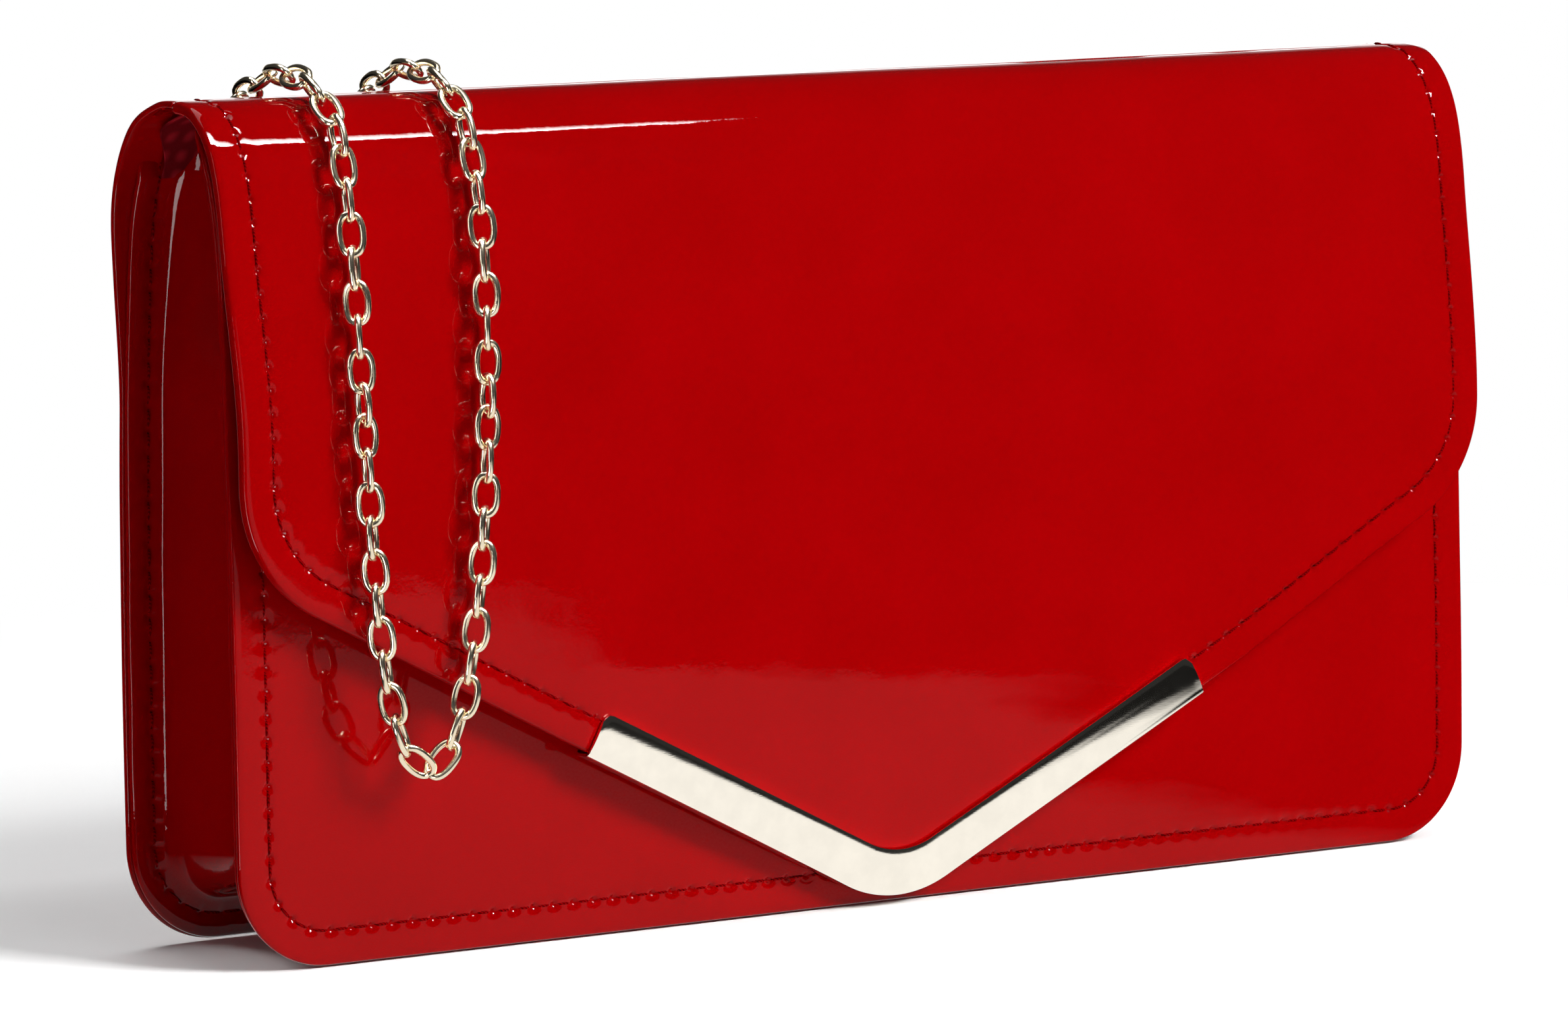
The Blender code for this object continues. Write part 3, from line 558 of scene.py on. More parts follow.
def patent(name, colour, edge):
    """Patent leather: a deep colour under a clear coat, with a faint orange peel and a slight blotch."""
    mat, shader, tree = finish_of(name, colour, 0.3)
    vector = object_space(tree)
    peel = noise_of(tree, vector, 900.0, 2.0)
    swell = noise_of(tree, vector, 120.0, 1.0)
    coat = bump_of(tree, swell, 0.12, 0.0004, bump_of(tree, peel, 0.05, 0.00012))
    grain = bump_of(tree, noise_of(tree, vector, 2200.0, 3.0), 0.25, 0.0002)
    tone = ramp_of(tree, noise_of(tree, vector, 45.0, 3.0), 0.3, 0.7, colour, edge)
    feed(tree, shader, Base_Color=tone, Normal=grain, Specular_IOR_Level=0.0)
    feed(tree, shader, Coat_Weight=1.0, Coat_Normal=coat, Coat_Roughness=0.02, Coat_IOR=1.2)
    return mat


def woven(name, dark, light):
    """A plain weave: warp and weft cross in the bump and the colour, for a matt cloth."""
    mat, shader, tree = finish_of(name, dark, 0.9)
    vector = object_space(tree)
    waves = []
    for direction in ("X", "Z"):
        scale = 50.0 / WEAVE_PITCH
        wave = node_of(tree, "TexWave", Scale=scale, Distortion=0.6, Detail=1.0, Vector=vector)
        wave.bands_direction = direction
        waves.append(wave.outputs["Fac"])
    cross = math_of(tree, "MULTIPLY", *waves)
    slub = noise_of(tree, vector, 400.0, 3.0)
    normal = bump_of(tree, cross, 0.5, 0.0003, bump_of(tree, slub, 0.2, 0.0002))
    tone = ramp_of(tree, cross, 0.1, 0.9, dark, light)
    feed(tree, shader, Base_Color=tone, Normal=normal, Specular_IOR_Level=0.0)
    return mat


def plated(name, colour, roughness, wear):
    """Plated metal: fine polishing marks and small rubbed patches in the gloss."""
    mat, shader, tree = finish_of(name, colour, roughness, metallic=1.0)
    vector = object_space(tree)
    patches = noise_of(tree, vector, 260.0, 4.0)
    gloss = range_of(tree, patches, 0.0, 1.0, roughness, roughness + wear)
    marks = noise_of(tree, object_space(tree, (1.0, 1.0, 9.0)), 700.0, 2.0)
    tint = tuple(min(1.0, value * 1.06) for value in colour)
    tone = ramp_of(tree, patches, 0.35, 0.7, colour, tint)
    feed(tree, shader, Base_Color=tone, Roughness=gloss, Normal=bump_of(tree, marks, 0.04, 0.0001))
    return mat


def fibrous(name, dark, light):
    """Pressed card: matt, with long fibres and flecks."""
    mat, shader, tree = finish_of(name, dark, 0.92)
    vector = object_space(tree, (1.0, 1.0, 0.25))
    fibre = noise_of(tree, vector, 700.0, 6.0)
    tone = ramp_of(tree, fibre, 0.35, 0.65, dark, light)
    feed(tree, shader, Base_Color=tone, Normal=bump_of(tree, fibre, 0.4, 0.0003))
    return mat


def thread_finish(name, dark, light):
    """Twisted thread: a fine diagonal ply in the colour and the bump."""
    mat, shader, tree = finish_of(name, light, 0.5)
    twist = node_of(tree, "TexWave", Scale=900.0, Vector=object_space(tree))
    twist.bands_direction = "DIAGONAL"
    tone = ramp_of(tree, twist.outputs["Fac"], 0.1, 0.9, dark, light)
    normal = bump_of(tree, twist.outputs["Fac"], 0.5, 0.0001)
    feed(tree, shader, Base_Color=tone, Normal=normal, Specular_IOR_Level=0.0)
    return mat


WEAVE_PITCH = 0.55
RED = patent("patent_red", (0.205, 0.0001, 0.0006), (0.185, 0.0001, 0.0004))
RED_THREAD = thread_finish("red_thread", (0.06, 0.0002, 0.0005), (0.17, 0.0004, 0.001))
LINING = woven("red_lining", (0.09, 0.002, 0.004), (0.2, 0.006, 0.01))
GOLD = plated("pale_gold", (0.84, 0.73, 0.54), 0.14, 0.08)
BRIGHT = plated("pale_gold_bar", (0.93, 0.87, 0.76), 0.06, 0.05)
NICKEL = plated("nickel", (0.72, 0.70, 0.67), 0.22, 0.15)
FERRITE = plated("ferrite", (0.1, 0.1, 0.11), 0.5, 0.2)
CARD = fibrous("card", (0.42, 0.38, 0.31), (0.6, 0.56, 0.48))


# ---------------- skins


def sewn_piece(name, nodes, profile, border, thickness, seed, amount, rows, top_cut):
    """A sewn skin in the place of CAD nodes, and its threads."""
    seam = Seam(border)
    skin = sewn_sheet(name + "_skin", profile, border, thickness, seed, amount, seam, rows, top_cut)
    wall(skin, SKIN_WALL)
    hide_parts(*nodes)
    threads = make(name + "_thread", *seam.stitches(profile), RED_THREAD)
    return skin, threads


def skin_half(s):
    """Half the skin's width along its length: the body's, then a little more from the shoulders up."""
    return BODY_HALF + (FLAP_HALF - BODY_HALF) * smooth_share(s, 92.0, 131.0)


def on_skin(length):
    return Vector(SKIN.lay(0.0, np.array(length), np.array(1.0))) * MM


def bend_at_rear_fold(*pieces):
    for piece in pieces:
        on_skin(REAR_FOLD + 1.0)
        on_skin(REAR_FOLD + 13.0)
        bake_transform(piece)


def bend_at_front_fold(*pieces):
    for piece in pieces:
        on_skin(FRONT_FOLD - 9.0)
        on_skin(FRONT_FOLD + 7.0)
        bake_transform(piece)


def build_skins():
    border = panel_border(0.0, SUMMIT, skin_half)
    rows = rows_between(0.0, SUMMIT + 2, SKIN)
    pieces = sewn_piece("rear", ["rear_panel"], SKIN, border, EDGE_THICKNESS, 3.0, 0.2, rows, SUMMIT)
    bend_at_rear_fold(*pieces)

    border = flap_border(SUMMIT)
    rows = rows_between(SUMMIT - 2, SKIN.total, SKIN)
    nodes = ["spine_cover", "flap_cover"]
    thickness = EDGE_THICKNESS + 1.0
    bend_at_front_fold(*sewn_piece("flap", nodes, SKIN, border, thickness, 11.0, 0.26, rows, SUMMIT))


FRONT_ROLL = [(-13.6, 127.0), (-11.7, 133.0), (-9.9, 138.6), (-9.7, 140.9), (-10.7, 141.8)]
ROLLED_FRONT = Profile(FRONT_ROLL + FRONT_STATIONS[1:])


def front_half(s):
    """Half the front panel's width along its length, a little less at its rolled top."""
    return BODY_HALF - 0.9 * (1 - smooth_share(s, 8.0, 22.0))


def build_front():
    foot = float(ROLLED_FRONT.length_at(0.0, 15.0, ROLLED_FRONT.total))
    border = panel_border(foot, 0.0, front_half)
    rows = rows_between(0.0, ROLLED_FRONT.total, ROLLED_FRONT)
    for piece in sewn_piece("front", ["front_panel"], ROLLED_FRONT, border, 1.1, 23.0, 0.22, rows, 0.0):
        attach(piece, "front")


# ---------------- gusset

GUSSET_DEPTH = 2.1
FLANGE_WIDTH = 7.0
FLANGE_SEAM = 4.6
FLANGE_THREAD = 0.22
GUSSET_FOLD = 11.0
LINING_OVER_FOLD = 3.7
LOWEST, REAR_HIGHEST = 0.05, 133.0


def body_path(top, pitch):
    """Stations round the body's edge as (x, z, outward x, outward z), from the top left to the top right."""
    left = [(-BODY_HALF, z) for z in np.linspace(top, CORNER_RADIUS, 60)]
    line = round_border(left, 0.0, 1.0, pitch)
    return np.concatenate([line, outward_of(line)], 1)


def panels_at(z, depth):
    """Places along Y this deep under the front panel's skin and the rear panel's, at a height."""
    front = FRONT.level_with(front_length(np.clip(z, LOWEST, BODY_TOP)), depth)
    return front, SKIN.level_with(rear_length(np.clip(z, LOWEST, REAR_HIGHEST)), depth)


def fold_inset(z):
    """How far the gusset's middle folds in, growing towards the mouth."""
    return GUSSET_FOLD + 4.5 * smooth_share(z, 95.0, 135.0)


def gusset_points(stations):
    """Rows of points across the gusset, from the front flange's turned edge to the rear one's."""
    x, z, out_x, out_z = stations.T
    front, rear = panels_at(z, GUSSET_DEPTH)
    fold = fold_inset(z)
    middle = 0.5 - 0.24 * smooth_share(z, 100.0, 137.0)
    flange = [(6.0, -0.75), (2.5, -0.75), (1.0, -0.72), (0.45, -0.5), (0.3, -0.1), (0.45, 0.3), (1.0, 0.5)]
    flange += [(2.0, 0.52), (3.2, 0.42), (4.0, 0.3), (4.6, 0.22), (5.2, 0.3), (6.2, 0.5), (6.9, 0.75)]
    rows = []
    for inset, step in flange:
        rows.append((np.full(len(x), inset), front + step))
    gap = rear - front
    for share in np.linspace(0.06, 0.94, 23):
        toward = np.where(share < middle, share / middle, (1 - share) / (1 - middle))
        bow = np.sin(toward * math.pi / 2) ** 0.8
        rows.append((FLANGE_WIDTH + (fold - FLANGE_WIDTH) * bow, front + gap * share))
    for inset, step in reversed(flange):
        rows.append((np.full(len(x), inset), rear - step))
    grid = []
    for inset, y in rows:
        places = zip(x * 0.05, z * 0.05, inset * 0.1)
        inset = inset + 0.22 * np.array([noise.noise(Vector(place)) for place in places])
        grid.append(np.stack([x - out_x * inset, y + SHIFT_Y, z - out_z * inset], -1))
    return np.array(grid)


def build_gusset():
    stations = body_path(BODY_TOP, 0.7)
    grid = gusset_points(stations)
    seam = Seam(stations[:, :2], FLANGE_SEAM)
    pull = seam.pull(FLANGE_SEAM) * 0.7
    for row, way in ((10, -1.0), (9, -0.5), (11, -0.5)):
        grid[row, :, 1] += way * pull
        grid[len(grid) - 1 - row, :, 1] -= way * pull
    skin = wall(sheet("gusset_skin", grid, RED, flip=True), SKIN_WALL)
    stand_in(skin, "gusset")

    parts = []
    share, lift = np.array([0.14, 0.3, 0.5, 0.7, 0.86]), np.array([-0.3, 0.05, 0.14, 0.05, -0.3])
    for k in range(seam.count):
        x, z = seam.at(share * seam.pitch + k * seam.pitch)
        front, rear = panels_at(z, GUSSET_DEPTH)
        for y in (rear - FLANGE_THREAD - lift, front + FLANGE_THREAD + lift):
            parts.append(tube(np.stack([x, y + SHIFT_Y, z], -1), FLANGE_THREAD, 5))
    threads = make("gusset_thread", *gather(parts), RED_THREAD)
    for piece in (skin, threads):
        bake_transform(piece)

    stations = body_path(BODY_TOP - 1.5, 2.0)
    x, z, out_x, out_z = stations.T
    front, rear = panels_at(z, STACK + 0.9)
    fold = fold_inset(z) + 2.9
    start = LINING_OVER_FOLD + FLANGE_WIDTH
    grid = []
    for share in np.linspace(0.0, 1.0, 19):
        bow = 1 - abs(2 * share - 1) ** 1.4
        inset = start + (fold - start) * bow
        y = front + (rear - front) * share + SHIFT_Y
        grid.append(np.stack([x - out_x * inset, y, z - out_z * inset], -1))
    cloth = wall(sheet("gusset_cloth", grid, LINING), 0.45)
    stand_in(cloth, "gusset_lining")
    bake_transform(cloth)


# ---------------- trim

TRIM_REACH = 65.0


def trim_path():
    """Stations along the flap's pointed edge as (x, z, outward x, outward z), left to right."""
    tip_z = FLAP_POINT + FLAP_TIP_RADIUS / math.cos(FLAP_SLOPE)
    slope = math.degrees(FLAP_SLOPE)
    turn = arc((0.0, tip_z), FLAP_TIP_RADIUS, 270 - slope, 270 + slope, 60)
    left = [(-TRIM_REACH, FLAP_POINT + TRIM_REACH * math.tan(FLAP_SLOPE))]
    line = resample(left + turn + [(-left[0][0], left[0][1])], 0.8)
    step = np.gradient(line, axis=0)
    step /= np.linalg.norm(step, axis=1, keepdims=True)
    return np.concatenate([line, np.stack([step[:, 1], -step[:, 0]], -1)], 1)


def build_trim():
    """A bar of folded sheet over the flap's point. Its ends are rounded and its faces slightly domed."""
    stations = trim_path()
    x, z, out_x, out_z = stations.T
    count = len(x)
    along = np.arange(count) * np.linalg.norm(stations[1, :2] - stations[0, :2])
    corner, front, wrap, rear = 1.6, 7.5, 0.8, 4.0
    from_corner = np.maximum(corner - np.minimum(along, along[-1] - along), 0.0)
    cut = corner - np.sqrt(corner**2 - from_corner**2)
    section = []
    for share in np.linspace(0.0, 1.0, 15):
        out = -front + share * (front + wrap - 1.1)
        section.append((out, -0.85 - 0.32 * math.sin(math.pi * min(share * 1.02, 1.0)) ** 0.7, 1.0 - share))
    for turn in np.radians(np.linspace(80, 0, 7)):
        section.append((wrap - 1.1 + 1.1 * math.cos(turn), 0.2 - 1.1 * math.sin(turn), 0.0))
    section += [(wrap, 1.2, 0.0), (wrap, 2.4, 0.0)]
    for turn in np.radians(np.linspace(0, 80, 6)):
        section.append((wrap - 0.9 + 0.9 * math.cos(turn), 2.9 + 0.75 * math.sin(turn), 0.0))
    section += [(-rear * 0.4, 3.68, 0.4), (-rear * 0.8, 3.68, 0.8), (-rear, 3.62, 1.0)]
    inner = [(-rear, 3.22, 1.0), (-0.2, 3.22, 0.2), (0.28, 2.9, 0.0), (0.3, 1.2, 0.0), (0.25, 0.1, 0.0)]
    inner += [(0.0, -0.32, 0.0), (-2.0, -0.34, 0.3), (-front + 0.3, -0.34, 0.95), (-front, -0.45, 1.0)]
    rows = []
    for out, depth, share in section + inner:
        reach = np.full(count, out) + cut * share
        height = np.maximum(z + out_z * reach, 0.1)
        length = flap_length(height)
        y = SKIN.lay(0.0, length, np.full(count, depth))[:, 1]
        rows.append(np.stack([x + out_x * reach, y, z + out_z * reach], -1))
    grid = np.array(rows).transpose(1, 0, 2)
    width = grid.shape[1]
    faces = grid_faces(count, width, closed=True)
    faces += [tuple(range(width)), tuple(reversed(range((count - 1) * width, count * width)))]
    bar = make("trim_bar", grid.reshape(-1, 3), [f[::-1] for f in faces], BRIGHT)
    bar.data.set_sharp_from_angle(angle=math.radians(50))
    stand_in(bar, "v_trim", "flap")


# ---------------- chain

LINK_LENGTH, LINK_WIDTH, WIRE = 8.1, 5.2, 1.25
LINK_PITCH = LINK_LENGTH - 2 * WIRE + 0.12
HINGE_SLACK = 0.45
CHAIN_STANDOFF = 3.4
LEFT_X, RIGHT_X = -111.0, -86.0
LOOP_LEFT = [(-111.2, 120.0), (-110.4, 95.0), (-109.0, 70.0), (-106.9, 50.0), (-103.4, 38.0)]
LOOP_BOTTOM = [(-98.4, 33.6)]
LOOP_RIGHT = [(-94.0, 38.0), (-90.4, 50.0), (-87.7, 70.0), (-86.2, 95.0), (-85.8, 120.0)]
CHAIN_END_Z = 51.3
CHAIN_RUNS = [
    ("chain_tail_left", 15, "chain_tail_left"), ("chain_over_top_left", 9, "spine"),
    ("chain_strand_left", 8, "chain_upper"), ("chain_loop_bottom", 22, "chain_lower"),
    ("chain_strand_right", 8, "chain_upper"), ("chain_over_top_right", 9, "spine"),
    ("chain_tail_right", 15, "chain_tail_right"),
]


def strand_stations(x):
    """Stations of a strand from its hanging end, up the back and over the top, to the front fold."""
    lengths = [float(rear_length(z)) for z in (CHAIN_END_Z, 75.0, 100.0, 122.0)]
    span = FRONT_FOLD - REAR_FOLD
    lengths += [REAR_FOLD + span * step / 6 for step in range(1, 7)]
    return [SKIN.lay(x, length, -CHAIN_STANDOFF) for length in lengths]


def away_from_skin(point, along):
    skin = Vector((0.0, point[1] - SHIFT_Y + 9.0, point[2] - 120.0))
    if point[2] < 120.0:
        skin = Vector((0.0, math.copysign(1.0, point[1] - SHIFT_Y), 0.0))
    return (skin - along * skin.dot(along)).normalized()


def link_turn(link, total):
    """How far a link is turned about the chain: flat or upright at the hinges, and askew between them."""
    hinges = [sum(count for _, count, _ in CHAIN_RUNS[:run]) for run in range(1, len(CHAIN_RUNS))]
    away = min(abs(link + 0.5 - hinge) for hinge in hinges) - 0.5
    lie = -math.pi / 4 * min(away / 3, 1.0)
    return lie if link < total / 2 else -math.pi / 2 - lie


def link_wire(centre, along, across):
    """One link: an oval of round wire with full round ends."""
    long_half, short_half = (LINK_LENGTH - WIRE) / 2, (LINK_WIDTH - WIRE) / 2
    path = []
    for k in range(28):
        turn = 2 * math.pi * k / 28
        c, s = math.cos(turn), math.sin(turn)
        a = long_half * math.copysign(abs(c) ** 0.86, c)
        b = short_half * math.copysign(abs(s) ** 0.8, s)
        path.append(centre + along * a + across * b)
    return tube(path, WIRE / 2, 10, closed=True)


def build_chain():
    loop = [SKIN.lay(x, float(flap_length(z)), -3.6) for x, z in LOOP_LEFT + LOOP_BOTTOM + LOOP_RIGHT]
    path = Rail(strand_stations(LEFT_X) + loop + strand_stations(RIGHT_X)[::-1])
    total = sum(count for _, count, _ in CHAIN_RUNS)
    length = total * LINK_PITCH - (len(CHAIN_RUNS) - 1) * HINGE_SLACK
    start, first = (path.total - length) / 2, 0
    for node, count, body in CHAIN_RUNS:
        parts = []
        for index in range(count):
            here = start + (index + 0.5) * LINK_PITCH
            centre = Vector(path.at(here))
            along = Vector(path.tangent(here, 0.5))
            out = away_from_skin(centre, along)
            turn = link_turn(first + index, total) + (first + index) % 2 * math.pi / 2
            turn += 0.16 * noise.noise(Vector((0.7 * (first + index), 3.1, 0.0)))
            across = (along.cross(out) * math.cos(turn) + out * math.sin(turn)).normalized()
            parts.append(link_wire(centre, along, across))
        links = make(node + "_links", *gather(parts), GOLD)
        stand_in(links, node, body)
        first += count
        start += count * LINK_PITCH - HINGE_SLACK


# ---------------- boards and linings

BASE_BOARD = 1.1
BODY_PLY_INSET = 9.0
FLAP_CARD_INSET, FLAP_CLOTH_INSET = 3.2, 2.2


def body_half(z, inset):
    """Half the body's width at a height, less an inset all round its round lower corners."""
    radius = max(CORNER_RADIUS - inset, 1.0)
    rise = np.minimum(np.asarray(z, float) - inset, radius)
    return BODY_HALF - inset - radius + np.sqrt(np.maximum(radius**2 - (radius - rise) ** 2, 0.0))


def flap_half(z, inset):
    """Half the flap's width at a height, less an inset all round."""
    side, point = FLAP_HALF - inset, FLAP_POINT + inset / math.cos(FLAP_SLOPE)
    shoulder, tip = FLAP_SIDE_RADIUS - inset, FLAP_TIP_RADIUS - inset
    centre_x = side - shoulder
    centre_z = point + centre_x * math.tan(FLAP_SLOPE) + shoulder / math.cos(FLAP_SLOPE)
    tip_z = point + tip / math.cos(FLAP_SLOPE)
    z = np.asarray(z, float)
    curve = centre_x + np.sqrt(np.maximum(shoulder**2 - (centre_z - np.minimum(z, centre_z)) ** 2, 0.0))
    slope = (z - point) / math.tan(FLAP_SLOPE)
    round_tip = np.sqrt(np.maximum(tip**2 - (tip_z - z) ** 2, 0.0))
    half = np.where(z >= centre_z - shoulder * math.cos(FLAP_SLOPE), curve, slope)
    half = np.where(z < tip_z - tip * math.cos(FLAP_SLOPE), round_tip, half)
    return np.where(z >= centre_z, side, half)


def ply(name, profile, lengths, halves, depth, thickness, finish, waver=0.0):
    """A layer of cloth or card between the skins, with softly rounded edges."""
    lengths, halves = np.asarray(lengths, float), np.maximum(np.asarray(halves, float), 0.4)
    across = np.sin(np.linspace(-math.pi / 2, math.pi / 2, 64))
    x = halves[:, None] * across[None, :]
    s = np.repeat(lengths[:, None], len(across), 1)
    deep = depth - ripple(x.ravel(), s.ravel(), depth, waver).reshape(x.shape)
    points = profile.lay(draw_in(x, s, profile), s, deep)
    obj = wall(sheet(name, points, finish, flip=profile is SKIN), thickness)
    rounded = obj.modifiers.new("edge", "BEVEL")
    rounded.width = 0.22 * thickness * MM
    rounded.segments = 2
    rounded.limit_method = "ANGLE"
    rounded.angle_limit = math.radians(50)
    return obj


def card_ply(name, node, profile, lengths, halves, body):
    """A stiffening board."""
    stand_in(ply(name, profile, lengths, halves, 1.2, 0.7, CARD), node, body)


def cloth_ply(name, node, profile, lengths, halves, depth, waver, body=None):
    """A lining."""
    return stand_in(ply(name, profile, lengths, halves, depth, 0.5, LINING, waver), node, body)


def build_body_plies():
    up = np.concatenate([np.linspace(9.05, 17, 9), np.linspace(20, 129.4, 40)])
    down = np.concatenate([np.linspace(136.0, 20, 44), np.linspace(17, 9.05, 9)])
    for side, profile, length_of, body, heights, lined, depth in (
        ("rear", SKIN, rear_length, "body", up, np.append(up, [131.0, 132.4, 133.3]), 2.3),
        ("front", FRONT, front_length, "front", down, np.append([138.8, 137.5], down), 2.35),
    ):
        halves = body_half(heights, BODY_PLY_INSET)
        card_ply(side + "_card", side + "_board", profile, length_of(heights), halves, body)
        halves, node = body_half(lined, BODY_PLY_INSET), side + "_lining"
        cloth_ply(side + "_cloth", node, profile, length_of(lined), halves, depth, 0.12, body)

    pocket = rear_length(np.linspace(42, 104, 24))
    cloth_ply("pocket_cloth", "slip_pocket", SKIN, pocket, [70.0] * 24, 3.85, 0.1, "body")
    bound = rear_length(np.linspace(104.3, 109.0, 6))
    strip = ply("pocket_strip", SKIN, bound, [70.0] * 6, 3.6, 1.1, RED)
    stand_in(strip, "pocket_binding", "body")
    height = GUSSET_FOLD + LINING_OVER_FOLD + BASE_BOARD
    across = np.linspace(-13.0 + SHIFT_Y, 12.5 + SHIFT_Y, 10)
    grid = [[(x, y, height) for y in across] for x in np.linspace(-104.0, 104.0, 60)]
    stand_in(wall(sheet("base_card", grid, CARD), BASE_BOARD), "base_board", "body")


def flap_outline(z, inset, first):
    """Lengths and half widths of a ply of the flap at heights z, after its first lengths above them."""
    lengths = np.concatenate([first, flap_length(z)])
    halves = np.concatenate([[FLAP_HALF - inset] * len(first), flap_half(z, inset)])
    keep = halves > 0.4
    return lengths[keep], halves[keep]


def build_flap_plies():
    low = np.concatenate([np.linspace(132, 90, 14), np.linspace(86, 8, 46), np.linspace(7, 2.6, 10)])
    outline = flap_outline(low, FLAP_CARD_INSET, [FRONT_FOLD + 4.5])
    card_ply("flap_card", "flap_board", SKIN, *outline, "flap")
    outline = flap_outline(low, FLAP_CLOTH_INSET, [FRONT_FOLD - 3.0, FRONT_FOLD])
    bend_at_front_fold(cloth_ply("flap_cloth", "flap_lining", SKIN, *outline, 2.3, 0.06))
    lengths = np.linspace(REAR_FOLD - 0.2, FRONT_FOLD - 3.2, 44)
    halves = BODY_HALF - 5.5 + 3.6 * smooth_share(lengths, REAR_FOLD + 2.0, REAR_FOLD + 14.0)
    bend_at_rear_fold(cloth_ply("spine_cloth", "spine_lining", SKIN, lengths, halves, 2.3, 0.05))


# ---------------- rings, tabs, snap and clasps


def turned(name, outline, x, z, finish):
    """A piece turned about an axis along Y. The outline is (y, radius), closed by its ends on the axis."""
    sides = 48
    points = []
    for y, radius in outline:
        for k in range(sides):
            turn = 2 * math.pi * k / sides
            points.append((x + radius * math.cos(turn), y, z + radius * math.sin(turn)))
    faces = grid_faces(len(outline), sides, closed=True)
    faces.append(tuple(range(sides))[::-1])
    faces.append(tuple(range((len(outline) - 1) * sides, len(outline) * sides)))
    obj = make(name, points, faces, finish)
    obj.data.set_sharp_from_angle(angle=math.radians(40))
    return obj


def plate_outline(start, end, radius):
    """The outline of a flat disc from start to end along Y, with eased rims."""
    edge = 0.18
    turns = np.radians([0, 30, 60, 90])
    first = [(start + edge * (1 - math.sin(t)), radius - edge * (1 - math.cos(t))) for t in turns[::-1]]
    last = [(end - edge * (1 - math.sin(t)), radius - edge * (1 - math.cos(t))) for t in turns]
    return [(start, 0.02)] + first + last + [(end, 0.02)]


def build_rings():
    for name, side in (("left", -1), ("right", 1)):
        x, z, half = side * 108.8, 124.0, 5.0
        path = [(x, y + SHIFT_Y, z) for y in np.linspace(-half + 1.0, half - 1.0, 8)]
        for turn in np.linspace(0.0, math.pi, 21):
            path.append((x, half * math.cos(turn) + SHIFT_Y, z + 1.0 + 6.5 * math.sin(turn)))
        ring = make("ring_" + name, *tube(path, 0.74, 12, closed=True), GOLD)
        stand_in(ring, "d_ring_" + name, "d_ring_" + name)

        bar = 1.5
        outline = [(-bar * 0.8, z - 13.0), (-bar * 0.85, z - 8.0), (-bar * 0.9, z - 3.0)]
        outline += [(-bar * math.cos(t), z + bar * math.sin(t)) for t in np.linspace(0, math.pi, 13)]
        outline += [(bar * 0.9, z - 3.0), (bar * 0.85, z - 8.0), (bar * 0.8, z - 13.0)]
        grid = [[(x + dx, y + SHIFT_Y, h) for y in np.linspace(-3.5, 3.5, 9)] for dx, h in outline]
        tab = wall(sheet("tab_" + name, grid, RED), 0.6, 0.0)
        stand_in(tab, "d_ring_tab_" + name, "body")


def build_snap():
    for node in ("snap_socket", "snap_backplate", "snap_magnet", "snap_stud"):
        low, high = (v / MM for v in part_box(node))
        x, z = (low.x + high.x) / 2, (low.z + high.z) / 2
        radius = (high.x - low.x) / 2
        if node == "snap_socket":
            face = low.y
            outline = [(face + 1.4, 0.02), (face + 1.4, 3.2), (face + 0.4, 3.4), (face + 0.05, 3.9)]
            outline += [(face, 4.4), (face + 0.1, radius - 0.9), (face + 0.5, radius - 0.2)]
            outline += [(face + 1.1, radius), (face + 1.6, radius - 0.1), (face + 1.6, 1.5)]
            outline += [(high.y - 0.1, 1.4), (high.y, 0.02)]
        elif node == "snap_stud":
            back = low.y
            outline = [(back, 0.02), (back + 0.1, 1.4), (back + 2.2, 1.5), (back + 2.2, radius - 0.2)]
            outline += [(back + 2.4, radius), (back + 2.7, radius), (back + 2.9, radius - 0.3)]
            outline.append((back + 2.95, 2.9))
            outline += [(high.y - 0.4, 2.75), (high.y - 0.1, 2.4), (high.y, 0.02)]
        else:
            outline = plate_outline(low.y, high.y, radius)
        finish = FERRITE if node == "snap_magnet" else NICKEL
        piece = turned(node.replace("snap_", "snap_visual_"), outline, x, z, finish)
        body = "flap" if node == "snap_stud" else "front"
        stand_in(piece, node, body)


def dress_clasps():
    """The clasps' hard pieces are shown as they are in the frame, under their own finishes."""
    finishes = {"clasp_eye_": GOLD, "clasp_hook_": GOLD, "clasp_lever_": GOLD, "clasp_pin_": NICKEL}
    for side in ("left", "right"):
        for node, finish in finishes.items():
            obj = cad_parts[node + side]
            obj.data.materials.clear()
            obj.data.materials.append(finish)


# ---------------- stage


SWEEP_START = -0.16
SWEEP_END = 0.215
SWEEP_RAGGED = 0.22
SWEEP_GLOW = 0.98
BACKDROP_GLOW = 3.0
FLOOR_GAP = 0.0004


def area(name, place, aim, width, height, power, matt=True, mirrored=True, spin=0.0):
    """A softbox, turned by spin about Z. It may be left out of matt light or of reflections."""
    light = bpy.data.lights.new(name, "AREA")
    light.shape = "RECTANGLE"
    light.size, light.size_y = width, height
    light.energy = power
    obj = bpy.data.objects.new(name, light)
    bpy.context.scene.collection.objects.link(obj)
    obj.location = place
    facing = (Vector(aim) - Vector(place)).to_track_quat("-Z", "Y").to_matrix()
    obj.rotation_euler = (Matrix.Rotation(spin, 3, "Z") @ facing).to_euler()
    obj.visible_diffuse = matt
    obj.visible_glossy = mirrored
    obj.visible_camera = False
    return light


def fade_across(light):
    """Makes an area light fall off from its -Y side to its +Y side, and sooner towards its +X end."""
    light.use_nodes = True
    tree = light.node_tree
    across = parts_of(tree, node_of(tree, "NewGeometry").outputs["Parametric"])
    sooner = range_of(tree, across["X"], 0.35, 1.0, 0.0, 0.8)
    fade = range_of(tree, math_of(tree, "ADD", across["Y"], sooner), 0.0, 1.0, 1.0, 0.0)
    feed(tree, tree.nodes["Emission"], Strength=fade)


